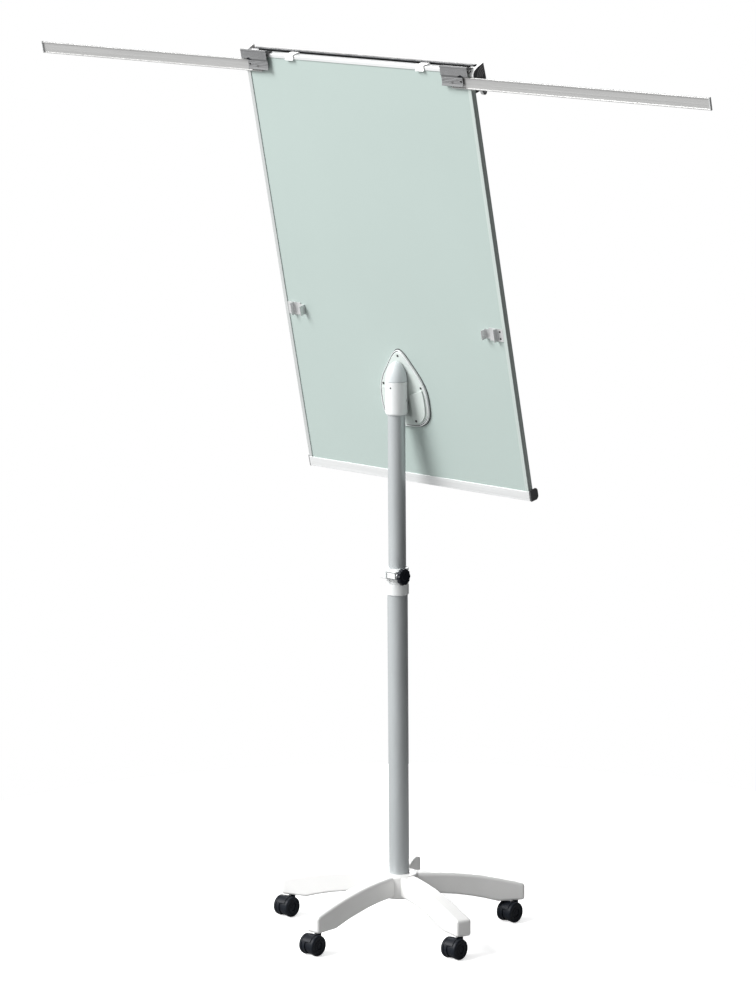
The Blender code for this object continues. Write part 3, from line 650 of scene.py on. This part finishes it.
SHIELD_HALF = ((0.0450, 0.2660), (0.0690, 0.2240), (0.0740, 0.1880), (0.0690, 0.1500),
               (0.0440, 0.1275))
SHIELD_TOP, SHIELD_BOTTOM, SHIELD_MIDDLE = 0.3123, 0.1225, 0.2050
SHIELD_REACH_X, SHIELD_REACH_S = 0.0740, 0.0950             # middle to edge, across and up
SADDLE_S, SADDLE_SLOPE = 0.1950, 0.42   # the V: its lowest point and its rise sideways
WING_X, WING_TOP = 0.0220, 0.0075       # a raised wing on either side of the mast
SHIELD_SCREW, SMALL_SCREW = 0.0030, 0.0026                  # head radii


def shield_ring(inset):
    """The shield's outline, shrunk toward its middle."""
    points = [(0.0, SHIELD_TOP), *SHIELD_HALF, (0.0, SHIELD_BOTTOM)]
    points += [(-x, s) for x, s in reversed(SHIELD_HALF)]
    shrink_x, shrink_s = 1 - inset / SHIELD_REACH_X, 1 - inset / SHIELD_REACH_S
    return smooth_loop([(x * shrink_x, SHIELD_MIDDLE + (s - SHIELD_MIDDLE) * shrink_s)
                        for x, s in points], 10)


def screw(x, depth, s, radius):
    """Pan-head screw with a cross recess, its head standing on the depth."""
    head = turned("screw", [
        (0, depth + 0.0014), (radius * 0.55, depth + 0.0013), (radius * 0.9, depth + 0.0008),
        (radius, depth + 0.0001), (radius, depth - 0.0002), (0, depth - 0.0002),
    ], BOARD_FRAME, ALONG_Y, (x, 0, s), 28)
    arm, slot = radius * 0.55, radius * 0.14
    low, high = depth + 0.0006, depth + 0.01
    cut(head,
        box("slot", (x - arm, low, s - slot), (x + arm, high, s + slot), BOARD_FRAME),
        box("slot", (x - slot, low, s - arm), (x + slot, high, s + arm), BOARD_FRAME))
    return head


def build_shield():
    rings = []
    for inset, depth in (
        (0.0004, PANEL_BACK + GAP), (0.0, PANEL_BACK + 0.0008), (0.0, 0.0030), (0.0005, 0.0040),
        (0.0012, 0.0044), (0.0018, 0.0042), (0.0022, 0.0034), (0.0024, 0.0016), (0.0036, 0.0016),
        (0.0041, 0.0030), (0.0055, 0.0034), (0.0120, 0.0033), (0.0300, 0.0030), (0.0600, 0.0028),
    ):
        rings.append([(x, depth, s) for x, s in shield_ring(inset)])
    shield = stacked("shield_cover", rings, BOARD_FRAME)
    dress(shield, "head_white", "board", "white_plastic", "shield_plate", sharp=50)
    field = extruded("shield_field", shield_ring(0.0050), 0.0026, 0.0039, BOARD_FRAME, ALONG_Y)
    dress(bevel(field, 0.0004, 2, 50), "shield_grey", "board", "white_plastic", sharp=45)

    # The lower half is a raised saddle with a shallow V along its upper edge.
    saddle, rim = [], 0.0072
    for inset, depth in ((rim, 0.0024), (rim, 0.0034), (0.0080, 0.0038), (0.0300, 0.0039)):
        ring = []
        for x, s in shield_ring(inset):
            top = SADDLE_S + abs(x) * SADDLE_SLOPE - (inset - rim) * 0.6
            ring.append((x, depth, min(s, top)))
        saddle.append(ring)
    lower = stacked("shield_saddle", saddle, BOARD_FRAME)
    dress(lower, "shield_grey", "board", "white_plastic", sharp=45)

    for side, sign in SIDES:
        wing = [(x, s) for x, s in shield_ring(0.0085)
                if x >= WING_X and s <= SADDLE_S + SADDLE_SLOPE * x]
        wing += [(WING_X, wing[-1][1]), (WING_X, SADDLE_S + SADDLE_SLOPE * WING_X)]
        outline = wing if sign > 0 else mirrored(wing)
        wing = extruded(f"shield_wing_{side}", outline, 0.0026, WING_TOP, BOARD_FRAME, ALONG_Y)
        dress(bevel(wing, 0.0009, 3, 50), "shield_grey", "board", "white_plastic", sharp=45)
    # Two thin dark grey rings are painted shade. One lies in the groove inside the rim, for the shade
    # in that groove. The other lies on the board round the shield's foot, as a painted shadow of the
    # gap under its edge.
    for name, outer, inner, low, high in (
        ("shield_groove_shade", 0.0024, 0.0037, 0.0012, 0.0022),
        ("shield_foot_shadow", -0.0022, 0.0006, PANEL_BACK + 0.0001, PANEL_BACK + 0.0007),
    ):
        line = extruded(name, shield_ring(outer), low, high, BOARD_FRAME, ALONG_Y)
        cut(line, extruded("middle", shield_ring(inner), low - 0.001, high + 0.001,
                           BOARD_FRAME, ALONG_Y))
        dress(line, "clamp_grey", "board", "black_plastic")

    screws = [screw(0, 0.0039, 0.2985, SHIELD_SCREW)]
    for sign in (1, -1):
        screws.append(screw(sign * 0.0590, 0.0039, 0.2240, SHIELD_SCREW))
        screws.append(screw(sign * 0.0320, WING_TOP, 0.1395, SHIELD_SCREW))
    dress(gather("shield_screws", screws), "dark_zinc", "board", "steel")

    # The tongue: a foot on the shield and an eye around the tilt bolt.
    reach, low, high = 0.0300, 0.0026, 0.0040
    side = [(low, TILT_S - reach), (high, TILT_S - reach), (high, TILT_S - 0.0115)]
    side += arc((TILT_D, TILT_S), 0.0105, -80, 80, 24)
    side += [(high, TILT_S + 0.0115), (high, TILT_S + reach), (low, TILT_S + reach)]
    tongue = settle(bevel(extruded("tilt_tongue", side, -0.0100, 0.0100, BOARD_FRAME), 0.0006, 2, 50))
    cut(tongue, rod("eye", 0.0043, -0.05, 0.05, BOARD_FRAME, ALONG_X, (0, TILT_D, TILT_S), 32))
    dress(tongue, "zinc", "board", "steel", "tilt_bracket")


# --------------------------------------------------------------------- board


def build_sheet():
    inside = BOARD_HALF - 0.0055
    top = TOP_RAIL_BOTTOM + 0.0035
    middle = (PANEL_BACK + PANEL_FRONT) / 2
    back = box("board_back_sheet", (-inside, middle + 0.0001, -0.0045), (inside, PANEL_BACK, top),
               BOARD_FRAME)
    dress(back, "board_back", "board", "panel", "board_panel")
    front = box("board_writing_sheet", (-inside, PANEL_FRONT, -0.0045),
                (inside, middle - 0.0001, top), BOARD_FRAME)
    dress(front, "board_front", "board", "panel", "board_panel")


def build_rails():
    front, back = PANEL_FRONT - GAP, PANEL_BACK + GAP
    tuck = 0.0045
    top_edge = arc((-0.0014, BOARD_TOP - 0.0014), 0.0014, 0, 90, 4)
    top_edge += arc((-0.0200 + 0.0014, BOARD_TOP - 0.0014), 0.0014, 90, 180, 4)
    top = extruded("top_profile", top_edge + [
        (-0.0200, TOP_RAIL_BOTTOM), (front, TOP_RAIL_BOTTOM), (front, TOP_RAIL_BOTTOM + tuck),
        (back, TOP_RAIL_BOTTOM + tuck), (back, TOP_RAIL_BOTTOM), (0, TOP_RAIL_BOTTOM),
    ], -BOARD_HALF, BOARD_HALF, BOARD_FRAME)
    dress(bevel(top, 0.0002, 1), "rail", "board", "aluminium", "top_rail")

    tray = [(0, -0.0004), (-0.0003, -0.0010), (-0.0003, -0.0016), (0, -0.0022),
            (0, TRAY_BOTTOM + 0.0042), (-0.0003, TRAY_BOTTOM + 0.0036)]
    tray += [(-0.0003, TRAY_BOTTOM + 0.0030), (0, TRAY_BOTTOM + 0.0024)]
    tray += arc((-0.0010, TRAY_BOTTOM + 0.0010), 0.0010, 0, -90, 3)
    tray += arc((-0.0250, TRAY_BOTTOM + 0.0020), 0.0020, 270, 180, 4)
    tray += arc((-0.0260, -0.0080), 0.0010, 180, 0, 5)
    tray += [(-0.0250, -0.0172), (-0.0242, -0.0180), (-0.0158, -0.0180), (-0.0150, -0.0172)]
    tray += [(-0.0150, -0.0006), (-0.0144, 0), (front, 0), (front, -tuck - GAP)]
    tray += [(back, -tuck - GAP), (back, 0), (-0.0004, 0)]
    trough = extruded("tray_profile", tray, -BOARD_HALF, BOARD_HALF, BOARD_FRAME)
    dress(bevel(trough, 0.0002, 1, 50), "rail", "board", "aluminium", "pen_tray")

    wall, lip = BOARD_HALF - 0.0055 + GAP, BOARD_HALF - 0.0100
    section = arc((BOARD_HALF - 0.0012, -0.0138), 0.0012, -90, 0, 3)
    section += [(BOARD_HALF, -0.0090), (BOARD_HALF - 0.0003, -0.0086), (BOARD_HALF - 0.0003, -0.0064),
                (BOARD_HALF, -0.0060)]
    section += arc((BOARD_HALF - 0.0012, -0.0012), 0.0012, 0, 90, 3)
    section += [(lip, 0), (lip, back), (wall, back), (wall, front), (lip, front), (lip, -0.0150)]
    cap = [(-0.0010, 0.0030), (-0.0010, -0.0215)]
    cap += arc((-0.0030, -0.0230), 0.0020, 0, -80, 3)
    cap += [(-0.0205, -0.0258)]
    cap += arc((-0.0200, -0.0170), 0.0080, 250, 180, 8)
    cap += arc((-0.0190, -0.0060), 0.0090, 180, 90, 10)
    for side, sign in SIDES:
        outline = section if sign > 0 else mirrored(section)
        rail = extruded(f"{side}_profile", outline, GAP, TOP_RAIL_BOTTOM - GAP, BOARD_FRAME, ALONG_Z)
        # The right rail, which faces away from the key light, gets a darker, greener copy of the rail
        # aluminium: painted shade.
        look = "rail_upright" if sign > 0 else "rail_shaded"
        dress(bevel(rail, 0.0002, 1, 50), look, "board", "aluminium", f"{side}_rail")
        low, high = spread(sign, BOARD_HALF + GAP, BOARD_HALF + 0.0035)
        end_cap = extruded(f"tray_end_{side}", cap, low, high, BOARD_FRAME)
        dress(bevel(end_cap, 0.0008, 3), "cap_grey", "board", "grey_plastic", f"tray_cap_{side}")


# --------------------------------------------------------------------- clamp

CAP_CORNER = (-0.0400, 0.9920)          # about which the end caps' ridges run
CAP_FOOT = (-0.0330, 0.9580)            # middle of their round foot
CAP_BACK = [(-0.0003, 1.0030), (-0.0015, 1.0090), (-0.0060, 1.0143), (-0.0130, 1.0180),
            (-0.0220, 1.0208), (-0.0310, 1.0230), (-0.0390, 1.0248)]


def build_clamp():
    front, top, back, wall = -0.0425, CLAMP_AXIS_S + 0.0055, -0.0262, 0.0025
    outer = [(back, top - wall), (back, top - 0.0006), (back - 0.0006, top)]
    outer += arc((front + 0.0090, top - 0.0090), 0.0090, 90, 180, 12)
    for i in range(6):                      # grip grooves along the front
        s = 0.9990 - i * 0.0050
        outer += [(front, s), (front + 0.0005, s - 0.0006), (front + 0.0005, s - 0.0012),
                  (front, s - 0.0018)]
    outer += arc((front + 0.0065, 0.9635), 0.0065, 180, 270, 10)
    outer += [(-0.0171, 0.9555), (-0.0165, 0.9562), (-0.0165, 0.9574), (-0.0171, 0.9580)]
    inner = arc((front + 0.0070, 0.9640), 0.0045, 270, 180, 6)
    inner += arc((front + 0.0080, top - 0.0080), 0.0055, 180, 90, 8)
    bar = extruded("paper_clamp_bar", outer + inner, -CLAMP_HALF, CLAMP_HALF, BOARD_FRAME)
    dress(bar, "clamp_grey", "clamp", "grey_plastic", "clamp_bar", sharp=30)

    fan = [(-0.0080, 0.9860), (-0.0020, 0.9950)]
    fan += [(d - 0.0005, s - 0.0004) for d, s in CAP_BACK]
    fan += [(-0.0408, 1.0234), (-0.0425, 1.0000), (-0.0435, 0.9820), (-0.0420, 0.9660)]
    fan += arc(CAP_FOOT, 0.0070, 160, 340, 16) + [(-0.0170, 0.9760)]
    for side, sign in SIDES:
        face = CAP_OUTER_X - 0.0004
        cap = extruded(f"clamp_end_{side}", fan, *spread(sign, CAP_INNER_X, face), BOARD_FRAME)
        pin = rod("pin", 0.0018, *spread(sign, CLAMP_HALF - 0.0080, CAP_INNER_X + 0.0020),
                  BOARD_FRAME, ALONG_X, (0, CLAMP_AXIS_D, CLAMP_AXIS_S), 24)
        low, high = spread(sign, BOARD_HALF + GAP, CAP_INNER_X + 0.0020)
        foot = box("foot", (low, -0.0390, 0.9700), (high, -0.0020, 1.0110), BOARD_FRAME)
        join(cap, pin, foot)
        dress(gather(f"clamp_end_{side}", [bevel(cap, 0.0006, 2, 50)]), "hook_white", "board",
              "grey_plastic", f"clamp_cap_{side}")
        plate = [(d - 0.0007, s - 0.0006) for d, s in CAP_BACK]
        plate += [(-0.0402, 1.0236), (-0.0417, 1.0000), (-0.0427, 0.9820), (-0.0412, 0.9662)]
        plate += arc(CAP_FOOT, 0.0062, 160, 340, 16) + [(-0.0178, 0.9764), (-0.0088, 0.9864)]
        cover = extruded(f"clamp_end_face_{side}", plate, *spread(sign, face - 0.0010, face + 0.0001),
                         BOARD_FRAME)
        dress(gather(f"clamp_end_face_{side}", [cover]), "cap_grey", "board", "grey_plastic")

        ribs = []
        for radius in (0.0270, 0.0215, 0.0160, 0.0105):
            band = arc(CAP_CORNER, radius + 0.0011, 12, 84, 18)
            band += arc(CAP_CORNER, radius - 0.0011, 84, 12, 18)
            ribs.append(extruded("rib", band, *spread(sign, face - 0.0004, CAP_OUTER_X), BOARD_FRAME))
        ribs.append(turned("boss", [
            (0, 0.0), (0.0026, 0.0), (0.0030, -0.0004), (0.0030, -0.0010), (0, -0.0010),
        ], BOARD_FRAME @ Matrix.Translation((sign * CAP_OUTER_X, 0, 0)),
            ALONG_X if sign > 0 else Matrix.Scale(-1, 4, (1, 0, 0)) @ ALONG_X,
            (0, *CAP_FOOT), 32))
        dress(gather(f"clamp_end_ribs_{side}", ribs), "rib_grey", "board", "grey_plastic")

        lining = [(d - 0.0008, s - 0.0006) for d, s in reversed(CAP_BACK)]
        trim = extruded(f"clamp_end_trim_{side}", CAP_BACK + lining,
                        *spread(sign, CAP_INNER_X + 0.0002, CAP_OUTER_X - 0.0001), BOARD_FRAME)
        dress(gather(f"clamp_end_trim_{side}", [trim]), "hook_white", "board", "white_plastic",
              sharp=50)


def build_pad_hooks():
    """Bent strips that slide on the top rail, with a peg for a punched pad in front."""
    strip = [(0.0040, 1.0060), (0.0055, 1.0074)]
    strip += arc((0.0045, 1.0110), 0.0020, 230, 180, 4)
    strip += arc((0.0003, 1.0178), 0.0022, 0, 90, 6)
    strip += arc((-0.0201, 1.0178), 0.0022, 90, 180, 6)
    strip += [(-0.0223, 0.9820), (-0.0203, 0.9820), (-0.0203, 1.0177), (0.0003, 1.0177)]
    strip += arc((0.0045, 1.0110), 0.0042, 180, 225, 4)
    for side, sign in SIDES:
        place = BOARD_FRAME @ Matrix.Translation((sign * HOOK_X, 0, 0))
        hook = extruded(f"hook_strip_{side}", strip, -0.0125, 0.0125, place)
        settle(bevel(hook, 0.0005, 2, 50))
        peg = settle(bevel(rod("peg", 0.0035, -0.0340, -0.0210, place, ALONG_Y, (0, 0, 0.9870), 32),
                           0.0010, 3))
        join(hook, peg)
        dress(hook, "hook_white", f"hook_{side}", "white_plastic", f"pad_hook_{side}", sharp=35)


# ----------------------------------------------------------------- side arms


def build_side_arm(side, sign):
    pivot = BOARD_FRAME @ Matrix.Translation((sign * ARM_PIVOT.x, 0, ARM_PIVOT.z))
    half, front, back = ARM_HEIGHT / 2, 0.0006, 0.0050
    web, lip = front + 0.0016, 0.0017
    ease = 0.0004
    channel = [(front, -half + ease), (front + ease, -half), (back - ease, -half), (back, -half + ease)]
    channel += [(back, lip - half), (web + 0.0004, lip - half), (web, lip - half + 0.0004)]
    channel += [(web, -0.0030), (web + 0.0003, -0.0026), (web + 0.0003, -0.0018), (web, -0.0014)]
    channel += [(web, half - lip - 0.0004), (web + 0.0004, half - lip), (back, half - lip)]
    channel += [(back, half - ease), (back - ease, half), (front + ease, half), (front, half - ease)]
    arm = extruded(f"side_arm_{side}", channel,
                   *spread(sign, -0.0080, ARM_TIP - ARM_PIVOT.x - 0.0024), pivot)
    cut(arm, rod("hole", 0.0034, -0.02, 0.02, pivot, ALONG_Y, steps=32))
    dress(arm, "arm_alloy", f"side_arm_{side}", "aluminium", f"arm_{side}", sharp=40)

    tip = ARM_TIP - ARM_PIVOT.x
    low, high = spread(sign, tip - 0.0030, tip)
    cap = box(f"side_arm_tip_{side}", (low, front - 0.0004, -half - 0.0004),
              (high, back + 0.0010, half + 0.0016), pivot)
    dress(bevel(cap, 0.0008, 3), "tip_grey", f"side_arm_{side}", "aluminium")

    rivet = turned(f"side_arm_rivet_{side}", [
        (0, -0.0016), (0.0050, -0.0016), (0.0070, -0.0008), (0.0070, GAP), (0.0030, GAP),
        (0.0030, 0.0074), (0, 0.0076),
    ], pivot, ALONG_Y, steps=32)
    dress(rivet, "rivet_steel", f"arm_root_{side}", "steel", f"arm_pivot_{side}")


NOTCH_X, NOTCH_S, NOTCH_RADIUS = 0.3310, 0.9950, 0.0118     # half-moon notch in a bracket
WINDOW_X, WINDOW_TOP = 0.3350, 1.0022   # outside and below which a bracket is open


def build_bracket(side, sign):
    """Extruded bracket with fine ribs along its back wall and a lip at its foot."""
    outside = [(-0.0130, BOARD_TOP + GAP), (-0.0130, 1.0199), (-0.0122, 1.0205), (0.0065, 1.0267)]
    outside += arc((0.0075, 1.0247), 0.0020, 90, 10, 4)
    for i in range(7):
        s = 1.0224 - i * 0.0024
        outside += [(0.0095, s), (0.0089, s - 0.0008), (0.0089, s - 0.0014), (0.0095, s - 0.0020)]
    outside += [(0.0095, 1.0052), (0.0077, 1.0017)]
    for i in range(4):
        s = 1.0004 - i * 0.0034
        outside += [(0.0076, s), (0.0071, s - 0.0008), (0.0071, s - 0.0014), (0.0076, s - 0.0022)]
    outside += [(0.0076, 0.9850), (0.0100, 0.9802), (0.0086, 0.9790), (0.0058, 0.9840)]
    inside = [(0.0058, 1.0020), (0.0077, 1.0060), (0.0077, 1.0100), (GAP, 1.0100), (GAP, 1.0125),
              (0.0077, 1.0125), (0.0077, BOARD_TOP + GAP)]
    low, high = spread(sign, BRACKET_INNER_X, BRACKET_OUTER_X)
    bracket = extruded(f"arm_bracket_profile_{side}", outside + inside, low, high, BOARD_FRAME)
    low, high = spread(sign, WINDOW_X, 0.3700)
    middle = (sign * NOTCH_X, NOTCH_S)
    half_moon = arc(middle, NOTCH_RADIUS, 30, 150, 24)
    cut(bracket,
        box("window", (low, 0.0050, 0.96), (high, 0.02, WINDOW_TOP), BOARD_FRAME),
        extruded("notch", half_moon, 0.0050, 0.0200, BOARD_FRAME, ALONG_Y),
        rod("rivet_hole", 0.0033, 0.0, 0.0200, BOARD_FRAME, ALONG_Y,
            (sign * ARM_PIVOT.x, 0, ARM_PIVOT.z), 32))
    dress(bracket, "bracket_alloy", "board", "aluminium", f"arm_bracket_{side}", sharp=30)
    stop = screw(sign * 0.3296, 0.0077, 0.9920, SMALL_SCREW)
    dress(gather(f"arm_bracket_screw_{side}", [stop]), "dark_zinc", "board", "steel")
    # A thin black crescent just inside the half-moon notch is painted shade, for the dark gap inside
    # the notch.
    shade = extruded(f"arm_bracket_notch_shade_{side}", arc(middle, NOTCH_RADIUS - 0.0004, 34, 146, 24),
                     0.0060, 0.0068, BOARD_FRAME, ALONG_Y)
    dress(shade, "black_plastic", "board", "black_plastic")


def build_clip(side, sign):
    """U-shaped keeper for the folded arm, on a flange with two screws."""
    floor = -0.0002
    section = [(0.3395, PANEL_BACK + GAP), (0.3395, floor - 0.0003), (0.3392, floor), (0.3226, floor)]
    section += [(0.3220, floor + 0.0006), (0.3220, 0.0104)]
    section += arc((0.32085, 0.0104), 0.00115, 0, 180, 6)
    section += [(0.3197, floor + 0.0008), (0.3189, floor), (0.2888, floor), (0.2880, floor + 0.0008)]
    section += arc((0.28685, 0.0148), 0.00115, 0, 180, 6)
    section += [(0.2857, PANEL_BACK + GAP)]
    outline = section if sign > 0 else mirrored(section)
    half, inner_half = 0.0155, 0.0115
    clip = extruded(f"arm_keeper_{side}", outline, CLIP_S - half, CLIP_S + half, BOARD_FRAME, ALONG_Z)
    low, high = spread(sign, 0.2800, 0.2980)
    cut(clip,
        box("low_end", (low, -0.0030, CLIP_S - 0.03), (high, 0.03, CLIP_S - inner_half), BOARD_FRAME),
        box("high_end", (low, -0.0030, CLIP_S + inner_half), (high, 0.03, CLIP_S + 0.03), BOARD_FRAME))
    settle(bevel(clip, 0.0003, 2, 50))
    dress(clip, "clip_alloy", "board", "aluminium", f"arm_clip_{side}", sharp=35)
    screws = [screw(sign * 0.3310, floor, CLIP_S + rise, SMALL_SCREW) for rise in (-0.0085, 0.0085)]
    dress(gather(f"arm_keeper_screws_{side}", screws), "dark_zinc", "board", "steel")


# --------------------------------------------------------------------- stage

CAMERA_FROM_MAST = Vector((-7.0769, 7.7840, 3.1155))
CAMERA_TURN, CAMERA_DOWN, CAMERA_ROLL = 42.52, 11.12, -0.40     # degrees
CAMERA_LENS = 163.3
FLOOR_RADIUS, FLOOR_BOUNCE, FLOOR_GLOW = 1.6, 0.40, 0.55
KEY_NEAR, KEY_LEFT, KEY_RISE = 3.0, 9.8, 7.6    # metres toward the camera, left and up
KEY_SIZE, KEY_POWER = 7.0, 2250
SURROUND_RIGHT, SURROUND_LEFT = 0.03, 0.84
FILL_POWER, FILL_RISE = 1.6, 0.10       # a low, weak light from the writing side
FILL_SPREAD = math.radians(30)


def build_camera():
    camera = bpy.data.objects.new("camera", bpy.data.cameras.new("camera"))
    loose.objects.link(camera)
    camera.data.lens = CAMERA_LENS
    camera.data.clip_end = 100
    turn, down = math.radians(CAMERA_TURN), math.radians(CAMERA_DOWN)
    forward = Vector((math.sin(turn) * math.cos(down), -math.cos(turn) * math.cos(down),
                      -math.sin(down)))
    right = forward.cross((0, 0, 1)).normalized()
    right.rotate(Matrix.Rotation(math.radians(-CAMERA_ROLL), 3, forward))
    up = right.cross(forward)
    camera.matrix_world = Matrix.Translation(MAST + CAMERA_FROM_MAST) @ Matrix((
        (right.x, up.x, -forward.x), (right.y, up.y, -forward.y), (right.z, up.z, -forward.z),
    )).to_4x4()
    bpy.context.scene.camera = camera
    return forward, right


def hang(name, light, place, direction):
    """Put a lamp at a place, shining along a direction."""
    lamp = bpy.data.objects.new(name, light)
    loose.objects.link(lamp)
    lamp.location = place
    lamp.rotation_mode = "QUATERNION"
    lamp.rotation_quaternion = direction.to_track_quat("-Z", "Y")


def seen_or_lit(nodes, links, seen, lit, target):
    """What the camera sees of a stage piece, and what it gives to the object's light."""
    path = nodes.new("ShaderNodeLightPath")
    mix = nodes.new("ShaderNodeMixShader")
    links.new(path.outputs["Is Camera Ray"], mix.inputs["Fac"])
    links.new(lit, mix.inputs[1])
    links.new(seen, mix.inputs[2])
    links.new(mix.outputs["Shader"], target)


def build_floor():
    """A round pale floor, whose bounce is held down so that the sides keep their shade."""
    shape = bmesh.new()
    bmesh.ops.create_circle(shape, cap_ends=True, segments=128, radius=FLOOR_RADIUS)
    floor = mesh_object("floor", shape, Matrix.Identity(4))
    look = Look("floor_paint", (0.95, 0.95, 0.95), 0.9)
    look.tint(look.noise(0.4, 2), 0.004)
    look.bump(look.noise(40, 3), 0.0002, 0.05)
    dim = look.node("ShaderNodeBsdfDiffuse")
    dim.inputs["Color"].default_value = (FLOOR_BOUNCE,) * 3 + (1,)
    look.shader.inputs["Emission Color"].default_value = (1, 1, 1, 1)
    look.shader.inputs["Emission Strength"].default_value = FLOOR_GLOW
    seen_or_lit(look.nodes, look.links, look.shader.outputs["BSDF"], dim.outputs["BSDF"],
                look.nodes["Material Output"].inputs["Surface"])
    floor.data.materials.append(look.material)


def build_lights(forward, right):
    """A large key high on the left, a weak fill behind, a surround that darkens to the right."""
    middle = MAST + Vector((0, 0, 1.2))
    level = Vector((forward.x, forward.y, 0)).normalized()
    key = middle - level * KEY_NEAR - right * KEY_LEFT + Vector((0, 0, KEY_RISE))
    light = bpy.data.lights.new("key", "AREA")
    light.shape = "DISK"
    light.size, light.energy = KEY_SIZE, KEY_POWER
    hang("key", light, key, middle - key)
    light = bpy.data.lights.new("fill", "SUN")
    light.angle, light.energy = FILL_SPREAD, FILL_POWER
    hang("fill", light, middle, -level - Vector((0, 0, FILL_RISE)))

    world = bpy.data.worlds.new("surround")
    world.use_nodes = True
    nodes, links = world.node_tree.nodes, world.node_tree.links
    lit = nodes["Background"]
    seen = nodes.new("ShaderNodeBackground")
    coordinates = nodes.new("ShaderNodeTexCoord")
    across = nodes.new("ShaderNodeVectorMath")
    across.operation = "DOT_PRODUCT"
    across.inputs[1].default_value = -right
    share = nodes.new("ShaderNodeMapRange")
    share.inputs["From Min"].default_value = -1
    share.inputs["From Max"].default_value = 1
    share.inputs["To Min"].default_value = SURROUND_RIGHT
    share.inputs["To Max"].default_value = SURROUND_LEFT
    links.new(coordinates.outputs["Generated"], across.inputs[0])
    links.new(across.outputs["Value"], share.inputs["Value"])
    links.new(share.outputs["Result"], lit.inputs["Strength"])
    lit.inputs["Color"].default_value = (1, 1, 1, 1)
    seen.inputs["Color"].default_value = (1, 1, 1, 1)
    seen_or_lit(nodes, links, seen.outputs["Background"], lit.outputs["Background"],
                nodes["World Output"].inputs["Surface"])
    bpy.context.scene.world = world
    bpy.context.scene.view_settings.view_transform = "Standard"


# ------------------------------------------------------------------ assembly

forward, right = build_camera()
build_floor()
build_lights(forward, right)

build_star_base()
for number in range(1, LEG_COUNT + 1):
    build_caster(number)
build_tubes()
build_collar()
build_knob()
build_head()
build_shield()
build_sheet()
build_rails()
build_clamp()
build_pad_hooks()
for side, sign in SIDES:
    build_side_arm(side, sign)
    build_bracket(side, sign)
    build_clip(side, sign)

for node in ("post_foot_plug", "inner_tube_guide"):
    paint_node(node, "black_plastic")
for node in ("base_bolt", "clamp_washer", "tilt_bolt"):
    paint_node(node, "zinc")
for number in range(1, LEG_COUNT + 1):
    paint_node(f"caster_stem_{number}", "dark_zinc")
    paint_node(f"caster_axle_{number}", "zinc")
